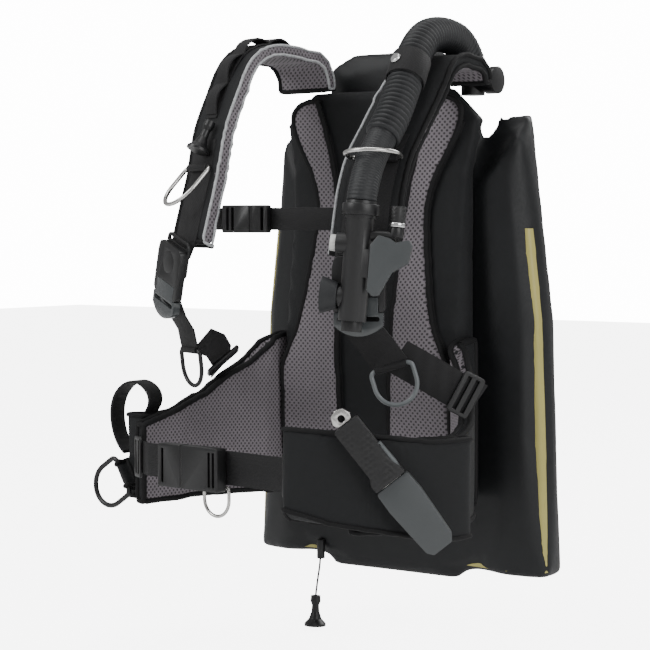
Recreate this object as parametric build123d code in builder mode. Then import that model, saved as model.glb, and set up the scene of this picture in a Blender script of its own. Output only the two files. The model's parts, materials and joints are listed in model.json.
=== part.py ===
"""Back-inflation buoyancy compensator vest, in millimetres.

The origin is on the axis of the scuba cylinder, at mid-height of the tank band.
+Z is up the diver's back, +X is the wearer's left and -Y is the front of the vest.
side is +1 for the wearer's left and -1 for the wearer's right.
"""
from build123d import *
from math import cos, radians, sin, tan
import os

os.makedirs("parts", exist_ok=True)

# ---- driving dimensions ------------------------------------------------------------
CYLINDER_R = 92.1            # 7.25 in scuba cylinder
BAND_CLEARANCE = 0.1
BAND_WIDTH = 50.0
BAND_THICKNESS = 2.5
SEAT_GAP = 0.3               # between soft pieces that touch
PIN_CLEARANCE = 0.06         # radial, running pins
SADDLE_WIDTH = 96.0
SADDLE_HEIGHT = 190.0
SADDLE_BACK = 79.0           # distance from the axis to the saddle's rear tips
SCREW_R = 3.0
SCREW_SPACING = 50.0
SCREW_RISE = 140.0

PANEL_BACK = 104.0           # wing centre panel, distances in front of the axis
PANEL_FRONT = 117.0
PLATE_THICKNESS = 5.0
PAD_BACK = 127.0
WING_TOP = 305.0
WING_BOTTOM = -340.0
WING_WALL = 3.5
PLATE_WIDTH = 150.0
PLATE_HEIGHT = 400.0

PAD_TOP = 252.0
PAD_BOTTOM = -235.0
PAD_HALF_WIDTH = 125.0
MESH_LOFT = 9.0
LUMBAR_LOFT = 14.0
WAIST_CENTRE_Y = -288.0
WAIST_HALF_WIDTH = 185.0
WAIST_DEPTH = 130.0

STRAP_X = 110.0
STRAP_WIDTH = 75.0
STRAP_LOFT = 14.0
STRAP_TURN = 24.0            # degrees that a strap faces away from straight ahead
WEBBING = 2.0                # webbing thickness
SHOULDER_WEBBING_WIDTH = 50.0
CHEST_WEBBING_WIDTH = 25.0
BELT_WIDTH = 38.0
BELT_Z = -180.0
CHEST_Z = 97.0

RING_WIRE = 5.0
RING_WIDTH = 52.0
RING_DROP = 57.0
BUCKLE_WIDTH = 58.0
HOSE_R = 20.0
HOSE_NECK_R = 16.5
INFLATOR_R = 15.0

# ---- shared helpers ----------------------------------------------------------------


def write(name, builder):
    """Label a finished piece and write its STEP file."""
    builder.part.label = name
    export_step(builder.part, f"parts/{name}.step")


def write_group(name, builders):
    """Write matching pieces as one node of separate solids."""
    group = Compound(children=[solid for builder in builders for solid in builder.part.solids()])
    group.label = name
    export_step(group, f"parts/{name}.step")


def facing(point, turn=0.0, lean=0.0, tilt=0.0):
    """Plane on the front of the vest: x across, y up and z outward.

    turn swings it towards the wearer's left, lean rolls it about its own normal and
    tilt tips its top back.
    """
    a = radians(turn)
    plane = Plane(origin=point, x_dir=(cos(a), sin(a), 0), z_dir=(sin(a), -cos(a), 0))
    return turned(plane, -tilt, 0, lean)


def turned(plane, about_x=0.0, about_y=0.0, about_z=0.0):
    """The plane turned about its own axes, in degrees."""
    return Plane(plane.location * Rotation(about_x, about_y, about_z))


def ribbon(stations, width, thickness):
    """Flat strip through stations of (point, across, outward)."""
    with BuildPart() as strip:
        for point, across, outward in stations:
            with BuildSketch(Plane(origin=point, x_dir=across, z_dir=across.cross(outward))):
                Rectangle(width, thickness)
        loft(ruled=True)
    return strip


def webbing_run(points, across, width, thickness=WEBBING):
    """Webbing through a few points whose width keeps one direction."""
    across = Vector(*across).normalized()
    points = [Vector(*point) for point in points]
    stations = []
    for i, point in enumerate(points):
        before = points[max(i - 1, 0)]
        after = points[min(i + 1, len(points) - 1)]
        along = (after - before).normalized()
        outward = along.cross(across).normalized()
        stations.append((point, across, outward))
    return ribbon(stations, width, thickness)


# ---- shoulder strap line -----------------------------------------------------------
# Side view of each strap's middle surface: distance in front, height.
STRAP_LINES = {
    -1: ([(-140, 253.7), (-147, 290), (-268, 300), (-327, 200), (-338, 150), (-368, 68)],
         [30, 70, 150, 150]),
    1: ([(-140, 254.8), (-147, 274), (-212, 279), (-316, 162), (-332, 125), (-347, 58)],
        [18, 50, 120, 120]),
}
STRAP_PATHS = {}
for side, (corners, radii) in STRAP_LINES.items():
    with BuildLine(Plane.YZ) as strap_line:
        FilletPolyline(*corners, radius=radii)
    STRAP_PATHS[side] = strap_line.wires()[0]


STRAP_STEPS = 24


def exact_station(side, distance):
    """Middle point, across and outward at a distance along a strap from its root."""
    path = STRAP_PATHS[side]
    along = path.tangent_at(distance, position_mode=PositionMode.LENGTH)
    share = min(max((distance - 60) / 110, 0), 1)
    a = radians(STRAP_TURN * share * share * (3 - 2 * share)) * side
    across = Vector(cos(a), sin(a), 0)
    outward = along.cross(across).normalized()
    middle = path.position_at(distance, position_mode=PositionMode.LENGTH)
    return middle + Vector(side * STRAP_X, 0, 0), across, outward


STRAP_LENGTHS = {side: path.length for side, path in STRAP_PATHS.items()}
STRAP_GRID = {side: [exact_station(side, STRAP_LENGTHS[side] * i / STRAP_STEPS)
                     for i in range(STRAP_STEPS + 1)] for side in (-1, 1)}


def strap_station(side, distance, lift=0.0, shift=0.0):
    """Station between two of the strap's own, so that what lies on it follows its facets."""
    place = distance / STRAP_LENGTHS[side] * STRAP_STEPS
    i = min(int(place), STRAP_STEPS - 1)
    share = place - i
    point, across, outward = [a * (1 - share) + b * share
                              for a, b in zip(STRAP_GRID[side][i], STRAP_GRID[side][i + 1])]
    return point + outward * lift + across * shift, across.normalized(), outward.normalized()


def strap_strip(side, start, end, width, thickness, lift, shift=0.0):
    """Strip that lies on a strap between two distances along it."""
    step = STRAP_LENGTHS[side] / STRAP_STEPS
    inner = [step * i for i in range(STRAP_STEPS + 1) if start + 1 < step * i < end - 1]
    stations = [strap_station(side, distance, lift, shift) for distance in [start, *inner, end]]
    return ribbon(stations, width, thickness)


def strap_plane(side, distance, lift):
    """Plane on a strap's face, with y back up the strap."""
    point, across, outward = strap_station(side, distance, lift)
    return Plane(origin=point, x_dir=across, z_dir=outward)


WEBBING_LIFT = STRAP_LOFT / 2 + SEAT_GAP + WEBBING / 2
WEBBING_FACE = WEBBING_LIFT + WEBBING / 2
LOOP_R = RING_WIRE / 2 + PIN_CLEARANCE + 1.6
BAR_LIFT = WEBBING_FACE + LOOP_R - 0.5

# ---- cylinder side: band, buckle, saddle -------------------------------------------
band_inner = CYLINDER_R + BAND_CLEARANCE
band_outer = band_inner + BAND_THICKNESS

with BuildPart() as tank_band:
    with BuildSketch(Plane.XY.offset(-BAND_WIDTH / 2)):
        Circle(band_outer)
        Circle(band_inner, mode=Mode.SUBTRACT)
    extrude(amount=BAND_WIDTH)
write("tank_band", tank_band)

CAM_BASE = 4.0
CAM_PIN_R = 3.0
CAM_PIN_X = -20.0
CAM_R = 7.0
cam_pin_y = band_outer + SEAT_GAP + CAM_BASE + CAM_R + 2
ear_inner = BAND_WIDTH / 2 + 1.5
ear_outer = ear_inner + 3.5
base_inner = band_outer + SEAT_GAP
base_outer = base_inner + CAM_BASE

with BuildPart() as cam_buckle_frame:
    with BuildSketch(Plane.XY.offset(-ear_outer)):
        Circle(base_outer)
        with Locations((0, band_outer)):
            Rectangle(76, 60, mode=Mode.INTERSECT)
        Circle(base_inner, mode=Mode.SUBTRACT)
    extrude(amount=2 * ear_outer)
    for start in (-ear_outer, ear_inner):
        with BuildSketch(Plane.XY.offset(start)):
            with BuildLine():
                Polyline((CAM_PIN_X - 16, base_inner - 2), (CAM_PIN_X - 8, cam_pin_y + 5),
                         (CAM_PIN_X + 8, cam_pin_y + 5), (CAM_PIN_X + 22, base_inner), close=True)
            make_face()
            Circle(base_inner, mode=Mode.SUBTRACT)
            with Locations((CAM_PIN_X, cam_pin_y)):
                Circle(CAM_PIN_R + PIN_CLEARANCE, mode=Mode.SUBTRACT)
        extrude(amount=ear_outer - ear_inner)
write("cam_buckle_frame", cam_buckle_frame)

with BuildPart() as cam_buckle_pin:
    with BuildSketch(Plane.XY.offset(-ear_outer)):
        with Locations((CAM_PIN_X, cam_pin_y)):
            Circle(CAM_PIN_R)
    extrude(amount=2 * ear_outer)
write("cam_buckle_pin", cam_buckle_pin)

lever_inner = base_outer + 1.2
with BuildPart() as cam_buckle_lever:
    lever_half = ear_inner - 0.4
    with BuildSketch(Plane.XY.offset(-lever_half)):
        Circle(lever_inner + 4.5)
        with Locations((CAM_PIN_X + 36, band_outer)):
            Rectangle(72, 60, mode=Mode.INTERSECT)
        Circle(lever_inner, mode=Mode.SUBTRACT)
        with Locations((CAM_PIN_X, cam_pin_y)):
            Circle(CAM_R)
            Circle(CAM_PIN_R + PIN_CLEARANCE, mode=Mode.SUBTRACT)
    extrude(amount=2 * lever_half)
write("cam_buckle_lever", cam_buckle_lever)

SCREW_SPOTS = [(x, z) for x in (-SCREW_SPACING / 2, SCREW_SPACING / 2)
               for z in (-SCREW_RISE / 2, SCREW_RISE / 2)]
SCREW_END = 95.0

with BuildPart() as tank_saddle:
    with BuildSketch(Plane.XY.offset(-SADDLE_HEIGHT / 2)):
        with Locations((0, -(PANEL_BACK - SEAT_GAP + SADDLE_BACK) / 2)):
            RectangleRounded(SADDLE_WIDTH, PANEL_BACK - SEAT_GAP - SADDLE_BACK, 3)
        Circle(CYLINDER_R + 0.5, mode=Mode.SUBTRACT)
    extrude(amount=SADDLE_HEIGHT)
    with BuildSketch(Plane.XY.offset(-BAND_WIDTH / 2 - 1)):
        Circle(band_outer + SEAT_GAP)
    extrude(amount=BAND_WIDTH + 2, mode=Mode.SUBTRACT)
    with BuildSketch(Plane.XZ.offset(SCREW_END - 2)):
        with Locations(*SCREW_SPOTS):
            Circle(SCREW_R + PIN_CLEARANCE)
    extrude(amount=20, mode=Mode.SUBTRACT)
write("tank_saddle", tank_saddle)

# ---- backplate and its screws ------------------------------------------------------
plate_back = PANEL_FRONT + SEAT_GAP
plate_front = PAD_BACK - SEAT_GAP
HEAD_R = 6.0
HEAD_DEPTH = 3.5

with BuildPart() as backplate:
    with BuildSketch(Plane.XZ.offset(plate_front - PLATE_THICKNESS)):
        RectangleRounded(PLATE_WIDTH, PLATE_HEIGHT, 40)
        with Locations((0, 130), (0, -130)):
            SlotOverall(90, 26, mode=Mode.SUBTRACT)
        with Locations(*SCREW_SPOTS):
            Circle(SCREW_R + PIN_CLEARANCE, mode=Mode.SUBTRACT)
    extrude(amount=PLATE_THICKNESS)
    with BuildSketch(Plane.XZ.offset(plate_back)):
        RectangleRounded(PLATE_WIDTH, PLATE_HEIGHT, 40)
        RectangleRounded(PLATE_WIDTH - 8, PLATE_HEIGHT - 8, 36, mode=Mode.SUBTRACT)
        with Locations(*SCREW_SPOTS):
            Circle(8)
            Circle(SCREW_R + PIN_CLEARANCE, mode=Mode.SUBTRACT)
    extrude(amount=plate_front - plate_back - PLATE_THICKNESS)
    with BuildSketch(Plane.XZ.offset(plate_front - HEAD_DEPTH)):
        with Locations(*SCREW_SPOTS):
            Circle(HEAD_R + 0.2)
    extrude(amount=HEAD_DEPTH, mode=Mode.SUBTRACT)
write("backplate", backplate)

with BuildPart() as plate_screws:
    with BuildSketch(Plane.XZ.offset(plate_front - HEAD_DEPTH)):
        with Locations(*SCREW_SPOTS):
            Circle(HEAD_R)
            RegularPolygon(2.8, 6, mode=Mode.SUBTRACT)
    extrude(amount=HEAD_DEPTH - 0.3)
    with BuildSketch(Plane.XZ.offset(SCREW_END)):
        with Locations(*SCREW_SPOTS):
            Circle(SCREW_R)
    extrude(amount=plate_front - HEAD_DEPTH - SCREW_END)
write("plate_screws", plate_screws)

with BuildPart() as carry_handle:
    with BuildSketch(Plane.XY.offset(212)):
        with BuildLine():
            Polyline((-60, -PANEL_BACK + SEAT_GAP), (-38, -PANEL_BACK + SEAT_GAP), (-26, -98.5),
                     (26, -98.5), (38, -PANEL_BACK + SEAT_GAP), (60, -PANEL_BACK + SEAT_GAP),
                     (60, -101.2), (39, -101.2), (27, -96), (-27, -96), (-39, -101.2), (-60, -101.2),
                     close=True)
        make_face()
    extrude(amount=28)
write("carry_handle", carry_handle)

# ---- wing and its bladder ----------------------------------------------------------
# Outermost reach of the side lobes at three heights.
LOBE_REACH = [(-325.0, 212.0), (-20.0, 200.0), (225.0, 172.0)]
LOBE_INNER_X = 98.0
POCKET_EDGE_Z = 140.0        # where the slanted top edge of a lobe meets the pad
ELBOW_SEAT_Z = 243.0         # shoulder of the centre panel that carries the hose elbow


def reach_at(level):
    """How far a lobe reaches to the side at a height, between the listed heights."""
    for (low, low_reach), (high, high_reach) in zip(LOBE_REACH, LOBE_REACH[1:]):
        if level <= high:
            break
    return low_reach + (high_reach - low_reach) * (level - low) / (high - low)


def lobe(side, inset, bottom, top):
    """One side lobe between two heights, drawn in by an inset."""
    with BuildPart() as body:
        for height, _ in LOBE_REACH:
            level = min(max(height, bottom), top)
            share = reach_at(level)
            with BuildSketch(Plane.XY.offset(level)):
                with BuildLine():
                    Polyline((side * (LOBE_INNER_X + inset), -PANEL_FRONT + inset),
                             (side * (share - 50), -124 + inset), (side * (share - inset), -110 + inset),
                             (side * (share - 4 - inset), -64 - inset), (side * (share - 44), -42 - inset),
                             (side * (LOBE_INNER_X + inset), -PANEL_BACK - inset), close=True)
                make_face()
                corners = vertices().sort_by(Axis.X)
                fillet(corners[2:] if side > 0 else corners[:-2], 12 - inset)
        loft(ruled=True)
    return body.part


def crossover(inset, bottom, top):
    """Link across the bottom of the wing that joins the two lobes."""
    with BuildPart() as link:
        with BuildSketch(Plane.XZ.offset(PANEL_BACK + inset)):
            with Locations((0, (bottom + top) / 2)):
                Rectangle(2 * LOBE_INNER_X + 30, top - bottom)
        extrude(amount=PANEL_FRONT - PANEL_BACK - 2 * inset)
    return link.part


def horseshoe(inset, bottom, top):
    """The U-shaped air space: two lobes and the link between them."""
    with BuildPart() as air:
        for side in (-1, 1):
            add(lobe(side, inset, bottom + inset, top - inset))
        add(crossover(inset, bottom + inset, -200 - inset))
    return air.part


def trimmed_lobe(side):
    """A lobe whose top is cut on a slant, from its rear corner down to the pad."""
    with BuildPart() as body:
        add(lobe(side, 0, -325, 225))
        split(bisect_by=Plane(origin=(side * 128, -124, POCKET_EDGE_Z), x_dir=(1, -side, 0),
                              z_dir=(-0.57 * side, -0.57, 0.59)), keep=Keep.BOTTOM)
    return body.part


with BuildPart() as wing_shell:
    for side in (-1, 1):
        add(trimmed_lobe(side))
    with BuildSketch(Plane.XZ.offset(PANEL_BACK)):
        with BuildLine():
            Polyline((-104, 240), (-96, 288), (-60, 303), (0, WING_TOP), (60, 303), (78, 296),
                     (80, ELBOW_SEAT_Z), (104, ELBOW_SEAT_Z), (104, -318), (92, WING_BOTTOM),
                     (-92, WING_BOTTOM), (-104, -318), close=True)
        make_face()
    extrude(amount=PANEL_FRONT - PANEL_BACK)
    for side in (-1, 1):
        with BuildSketch(Plane.XY.offset(95)):
            with BuildLine():
                Polyline((side * 100, -PANEL_BACK), (side * 148, -96), (side * 168, -84),
                         (side * 168, -80.5), (side * 148, -92.5), (side * 98, -PANEL_BACK + 3.5),
                         close=True)
            make_face()
        extrude(amount=132)
    add(horseshoe(WING_WALL, -320, 90), mode=Mode.SUBTRACT)
    with BuildSketch(Plane.XZ.offset(PANEL_BACK - 5)):
        with Locations(*SCREW_SPOTS):
            Circle(SCREW_R + PIN_CLEARANCE)
    extrude(amount=PANEL_FRONT - PANEL_BACK + 10, mode=Mode.SUBTRACT)
write("wing_shell", wing_shell)

with BuildPart() as inner_bladder:
    add(horseshoe(WING_WALL + SEAT_GAP, -320, 90))
    add(horseshoe(WING_WALL + SEAT_GAP + 1.2, -320, 90), mode=Mode.SUBTRACT)
write("inner_bladder", inner_bladder)

# ---- back pad, its mesh panels and the waist lobes ---------------------------------
# Side view of the pad's front face: height, distance in front of the axis.
PAD_FACE = [(-240, 160), (-130, 172), (-30, 172), (40, 164), (110, 155), (200, 150), (256, 148)]


def pad_slab(near, far):
    """Slab that follows the pad's front face, between two offsets in front of it."""
    with BuildPart() as slab:
        with BuildSketch(Plane.YZ.offset(-170)):
            with BuildLine():
                back_edge = Spline([(-(y + near), z) for z, y in PAD_FACE])
                front_edge = Spline([(-(y + far), z) for z, y in PAD_FACE])
                Line(back_edge @ 0, front_edge @ 0)
                Line(back_edge @ 1, front_edge @ 1)
            make_face()
        extrude(amount=340)
    return slab.part


with BuildPart() as back_pad:
    with BuildSketch(Plane.YZ.offset(-150)):
        with BuildLine():
            face = Spline([(-y, z) for z, y in PAD_FACE])
            Polyline(face @ 0, (-PAD_BACK, -240), (-PAD_BACK, 256), face @ 1)
        make_face()
    extrude(amount=300)
    with BuildSketch(Plane.XZ):
        with BuildLine():
            Polyline((-PAD_HALF_WIDTH, PAD_BOTTOM), (-PAD_HALF_WIDTH, -40), (-124, 60), (-126, 150),
                     (-137, 215), (-97, PAD_TOP), (97, PAD_TOP), (137, 215), (126, 150), (124, 60),
                     (PAD_HALF_WIDTH, -40), (PAD_HALF_WIDTH, PAD_BOTTOM), close=True)
        make_face()
        fillet(vertices().filter_by(lambda v: v.Z > 45), 14)
    extrude(amount=200, mode=Mode.INTERSECT)
write("back_pad", back_pad)

mesh_panels = []
for side in (-1, 1):
    with BuildPart() as mesh_panel:
        add(pad_slab(SEAT_GAP, MESH_LOFT))
        with BuildSketch(Plane.XZ):
            with BuildLine():
                Spline([(side * x, z) for x, z in ((84, 243), (120, 226), (106, 179), (84, 134), (86, 39),
                                                   (98, -25), (112, -60), (122, -80))])
                Line((side * 122, -80), (side * 122, -228))
                Line((side * 122, -228), (side * 30, -228))
                Spline([(side * x, z) for x, z in ((30, -228), (33, -133), (37, -41),
                                                   (56, 161), (84, 243))])
            make_face()
        extrude(amount=200, mode=Mode.INTERSECT)
    mesh_panels.append(mesh_panel)
write_group("mesh_panels", mesh_panels)


def waist_point(degrees, grow=0.0):
    """Point on the waist ellipse; 0 is the wearer's left side, 90 is at the back."""
    return ((WAIST_HALF_WIDTH + grow) * cos(radians(degrees)),
            WAIST_CENTRE_Y + (WAIST_DEPTH + grow) * sin(radians(degrees)))


def waist_arc(side, start, end, grow):
    """Points along the waist ellipse between two angles, on one side."""
    steps = 10
    points = [waist_point(start + (end - start) * i / steps, grow) for i in range(steps + 1)]
    return [(side * x, y) for x, y in points]


def waist_wall(side, start, end, near, far, bottom, top, root=None, tail=None):
    """Upright wall round the waist ellipse; root and tail are extra corners at its two ends."""
    with BuildPart() as wall:
        with BuildSketch(Plane.XY.offset(bottom)):
            with BuildLine():
                inner = Spline(waist_arc(side, start, end, near))
                outer = Spline(waist_arc(side, start, end, far))
                if root:
                    Polyline(inner @ 0, *[(side * x, y) for x, y in root], outer @ 0)
                else:
                    Line(inner @ 0, outer @ 0)
                if tail:
                    Polyline(inner @ 1, *[(side * x, y) for x, y in tail], outer @ 1)
                else:
                    Line(inner @ 1, outer @ 1)
            make_face()
        extrude(amount=top - bottom)
    return wall.part


def side_outline(points):
    """Block right across the vest with a side-view outline of (y, z) points."""
    with BuildPart() as block:
        with BuildSketch(Plane.YZ.offset(-300)):
            with BuildLine():
                Polyline(*points, close=True)
            make_face()
        extrude(amount=600)
    return block.part


lobe_seat = PAD_HALF_WIDTH + SEAT_GAP
LOBE_ROOT = [(lobe_seat, -190), (lobe_seat, -150), (lobe_seat + LUMBAR_LOFT, -150)]
with BuildPart() as lumbar_lobe_right:
    add(waist_wall(-1, 46.8, -4, 0, LUMBAR_LOFT, -245, -40, root=LOBE_ROOT,
        tail=((200, -350), (214, -347))))
    add(side_outline([(-150, -40), (-187, -45), (-210, -77), (-230, -92), (-255, -113), (-290, -124),
                      (-350, -145), (-352, -240), (-200, -236), (-150, -236)]), mode=Mode.INTERSECT)
    split(bisect_by=Plane.YZ.offset(-lobe_seat), keep=Keep.BOTTOM)

with BuildPart() as lumbar_lobe_left:
    add(waist_wall(1, 46.8, -66, 0, LUMBAR_LOFT, -245, -40, root=LOBE_ROOT))
    add(side_outline([(-150, -40), (-187, -45), (-210, -77), (-230, -98), (-255, -128), (-290, -140),
                      (-360, -140), (-450, -140), (-450, -240), (-200, -236), (-150, -236)]),
        mode=Mode.INTERSECT)
    split(bisect_by=Plane.YZ.offset(lobe_seat), keep=Keep.TOP)
write_group("lumbar_lobes", [lumbar_lobe_right, lumbar_lobe_left])

# ---- pockets -----------------------------------------------------------------------
POCKET_NEAR = LUMBAR_LOFT + SEAT_GAP
POCKET_WALL = 2.0


def pocket(side, start, end, far, bottom, top, tail=None, trim=None):
    """Closed zipped pocket on the outside of a waist lobe, hollow inside."""
    with BuildPart() as bag:
        add(waist_wall(side, start, end, POCKET_NEAR, far, bottom, top, tail=tail))
        if trim:
            add(side_outline(trim), mode=Mode.INTERSECT)
        fillet(bag.edges().filter_by(Axis.Z), 5)
    return bag


pocket_left = pocket(1, -3, -71, 36, -246, -124,
                     trim=[(-280, -138), (-350, -138), (-440, -124), (-460, -124), (-460, -200),
                           (-425, -226), (-350, -246), (-280, -246)])
write("pocket_left", pocket_left)

# The right pocket carries a webbing loop for the waist D-ring on its lower front corner.
WAIST_WIRE = 6.0
WAIST_RING_WIDTH = 44.0
WAIST_RING_DROP = 50.0
waist_ring_plane = facing((-238, -343, -208), -8, lean=-56)
waist_loop_r = WAIST_WIRE / 2 + PIN_CLEARANCE + 1.6
pocket_right_bag = pocket(-1, 14, -2, 44, -236, -136, tail=((214.5, -335), (246, -330)))
tab_plane = Plane(origin=waist_ring_plane.origin - waist_ring_plane.x_dir * 17,
                  x_dir=waist_ring_plane.z_dir, z_dir=waist_ring_plane.x_dir)
with BuildPart() as pocket_right:
    add(pocket_right_bag.part)
    with BuildSketch(tab_plane):
        Circle(waist_loop_r)
        with Locations((-7, 0)):
            Rectangle(14, 2 * waist_loop_r)
    extrude(amount=34)
    with BuildSketch(tab_plane.offset(-3)):
        Circle(WAIST_WIRE / 2 + PIN_CLEARANCE)
    extrude(amount=40, mode=Mode.SUBTRACT)
write("pocket_right", pocket_right)

# ---- shoulder straps and what is sewn to them --------------------------------------
PLATE_DEPTH = 3.0
BUCKLE_DEPTH = 9.0
SWIVEL_LEAN = {-1: -17.0, 1: 0.0}
SWIVEL_DROP = 24.0           # from the strap's end down to the swivel


def swivel_plane_at(side):
    """Plane of a swivel buckle, ahead of and below the end of its strap."""
    end_point, across, outward = strap_station(side, STRAP_LENGTHS[side],
        WEBBING_FACE + SEAT_GAP + PLATE_DEPTH)
    level = Vector(outward.X, outward.Y, 0).normalized()
    centre = Vector(end_point.X, end_point.Y, end_point.Z - SWIVEL_DROP) + level * 5.5
    if side < 0:
        centre = centre - across * 8
    return facing(centre, STRAP_TURN * side, lean=SWIVEL_LEAN[side])


SWIVEL_PLANES = {side: swivel_plane_at(side) for side in (-1, 1)}
CHEST_RING_AT = {}
shoulder_straps, strap_webbings = [], []
for side, name in ((-1, "right"), (1, "left")):
    length = STRAP_LENGTHS[side]
    ring_at = length - (90 if side < 0 else 104)
    CHEST_RING_AT[side] = ring_at
    shoulder_strap = strap_strip(side, 0, length, STRAP_WIDTH, STRAP_LOFT, 0)
    shoulder_straps.append(shoulder_strap)

    webbing_start = ring_at - 34
    strip = strap_strip(side, webbing_start, length - 1, SHOULDER_WEBBING_WIDTH, WEBBING, WEBBING_LIFT)
    bar_plane = strap_plane(side, ring_at, BAR_LIFT)
    plate = SWIVEL_PLANES[side]
    behind_plate = plate.origin - plate.z_dir * (PLATE_DEPTH + SEAT_GAP + WEBBING / 2) + plate.y_dir * 12
    with BuildPart() as strap_webbing:
        add(strip.part)
        last = strap_station(side, length - 1.5, WEBBING_LIFT)
        add(ribbon([last, (behind_plate, plate.x_dir, plate.z_dir)], SHOULDER_WEBBING_WIDTH, WEBBING).part)
        with BuildSketch(Plane(origin=bar_plane.origin - bar_plane.x_dir * 23, z_dir=bar_plane.x_dir)):
            Circle(LOOP_R)
        extrude(amount=46)
        with BuildSketch(Plane(origin=bar_plane.origin - bar_plane.x_dir * 25, z_dir=bar_plane.x_dir)):
            Circle(RING_WIRE / 2 + PIN_CLEARANCE)
        extrude(amount=50, mode=Mode.SUBTRACT)
    strap_webbings.append(strap_webbing)
write_group("shoulder_straps", shoulder_straps)
write_group("strap_webbings", strap_webbings)


def d_ring(plane, width=RING_WIDTH, drop=RING_DROP, wire=RING_WIRE):
    """Wire D-ring; its straight bar lies on the plane's x axis and it hangs down y."""
    half = (width + wire) / 2
    with BuildPart() as ring:
        with BuildLine(plane) as bow:
            start = FilletPolyline((0, 0), (half, 0), (half, half - drop), radius=wire * 1.2)
            ThreePointArc(start @ 1, (0, -drop), (-half, half - drop))
            FilletPolyline((-half, half - drop), (-half, 0), (0, 0), radius=wire * 1.2)
        with BuildSketch(Plane(origin=plane.origin, z_dir=plane.x_dir)):
            Circle(wire / 2)
        sweep(path=bow.wires()[0])
    return ring


RING_TILT = {-1: 28, 1: 69}
for side, name in ((-1, "right"), (1, "left")):
    ring_plane = turned(strap_plane(side, CHEST_RING_AT[side], BAR_LIFT), -RING_TILT[side])
    write(f"d_ring_chest_{name}", d_ring(ring_plane))

# Daisy chain down the right strap: a flat tape with loops of the same tape on it.
LOOP_COUNT = 4
LOOP_RISE = 7.0
chain_start = 70.0
chain_end = CHEST_RING_AT[-1] - 60
base_tape = strap_strip(-1, chain_start, chain_end, CHEST_WEBBING_WIDTH, WEBBING, WEBBING_LIFT)
wave_steps = 8 * LOOP_COUNT
wave_stations = []
for i in range(wave_steps + 1):
    distance = chain_start + 4 + (chain_end - chain_start - 8) * i / wave_steps
    rise = 1.5 + LOOP_RISE * abs(sin(radians(180 * LOOP_COUNT * i / wave_steps)))
    wave_stations.append(strap_station(-1, distance, WEBBING_LIFT + rise))
with BuildPart() as daisy_chain:
    add(base_tape.part)
    add(ribbon(wave_stations, CHEST_WEBBING_WIDTH, WEBBING).part)
write("daisy_chain", daisy_chain)

# ---- swivel buckles at the strap ends ----------------------------------------------
SWIVEL_R = 13.0
MALE_GAP = 0.4
swivel_plates = []
for side, name in ((-1, "right"), (1, "left")):
    swivel = SWIVEL_PLANES[side]
    with BuildPart() as swivel_plate:
        with BuildSketch(swivel.offset(-PLATE_DEPTH)):
            with Locations((0, 8)):
                RectangleRounded(BUCKLE_WIDTH - 4, 44, 8)
            with Locations((0, 24)):
                SlotOverall(46, 4, mode=Mode.SUBTRACT)
        extrude(amount=PLATE_DEPTH)
        with BuildSketch(swivel):
            Circle(SWIVEL_R)
        extrude(amount=BUCKLE_DEPTH)
    swivel_plates.append(swivel_plate)

    with BuildPart() as swivel_buckle:
        with BuildSketch(swivel.offset(SEAT_GAP)):
            with BuildLine():
                Polyline((-26, 20), (-29, 8), (-29, -40), (29, -40), (29, 8), (26, 20), close=True)
            make_face()
            fillet(vertices().group_by(Axis.Z)[-1], 6)
            Circle(SWIVEL_R + PIN_CLEARANCE, mode=Mode.SUBTRACT)
            with Locations((0, -32)):
                Rectangle(44, 17, mode=Mode.SUBTRACT)
        extrude(amount=BUCKLE_DEPTH - SEAT_GAP)
    write(f"swivel_buckle_{name}", swivel_buckle)

    with BuildPart() as swivel_male:
        with BuildSketch(swivel.offset(SEAT_GAP)):
            with Locations((0, -32.4)):
                Rectangle(44 - 2 * MALE_GAP, 17)
            with BuildLine():
                Polyline((-27, -40.5), (27, -40.5), (27, -54), close=False)
                ThreePointArc((27, -54), (0, -66), (-27, -54))
                Line((-27, -54), (-27, -40.5))
            make_face()
            with Locations((0, -47)):
                SlotOverall(46, 5, mode=Mode.SUBTRACT)
        extrude(amount=BUCKLE_DEPTH - SEAT_GAP)
    write(f"shoulder_buckle_male_{name}", swivel_male)
write_group("swivel_plates", swivel_plates)

# ---- lower shoulder webbing with its D-rings and ladder locks ----------------------
LOWER_WIDTH = 40.0
PLASTIC_WIRE = 5.0
LOWER_RING_WIDTH = 42.0
LOWER_RING_DROP = 42.0
LOWER = {
    -1: {"drop": [(-135.5, -374.7, 8), (-133, -366, -14), (-129, -356, -30), (-127, -352, -50)],
        "across": (0.914, -0.407, 0.0),
         "rear": [(-113.9, -346.1, -42), (-116, -318, -50), (-146, -268, -66), (-180, -228, -84)],
         "rear_across": (0.72, -0.05, 0.65), "ring_tilt": 6},
    1: {"drop": [(116.8, -361.9, -4), (117.5, -357.5, -22), (125, -342, -40), (137, -334, -60)],
        "across": (0.86, 0.42, 0.30),
        "rear": [(140, -324, -52), (162, -306, -68), (188, -284, -88), (206, -264, -102)],
        "rear_across": (0.42, 0.36, 0.80), "ring_tilt": 8},
}
shoulder_webbings, side_webbings, ladder_locks = [], [], []
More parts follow.
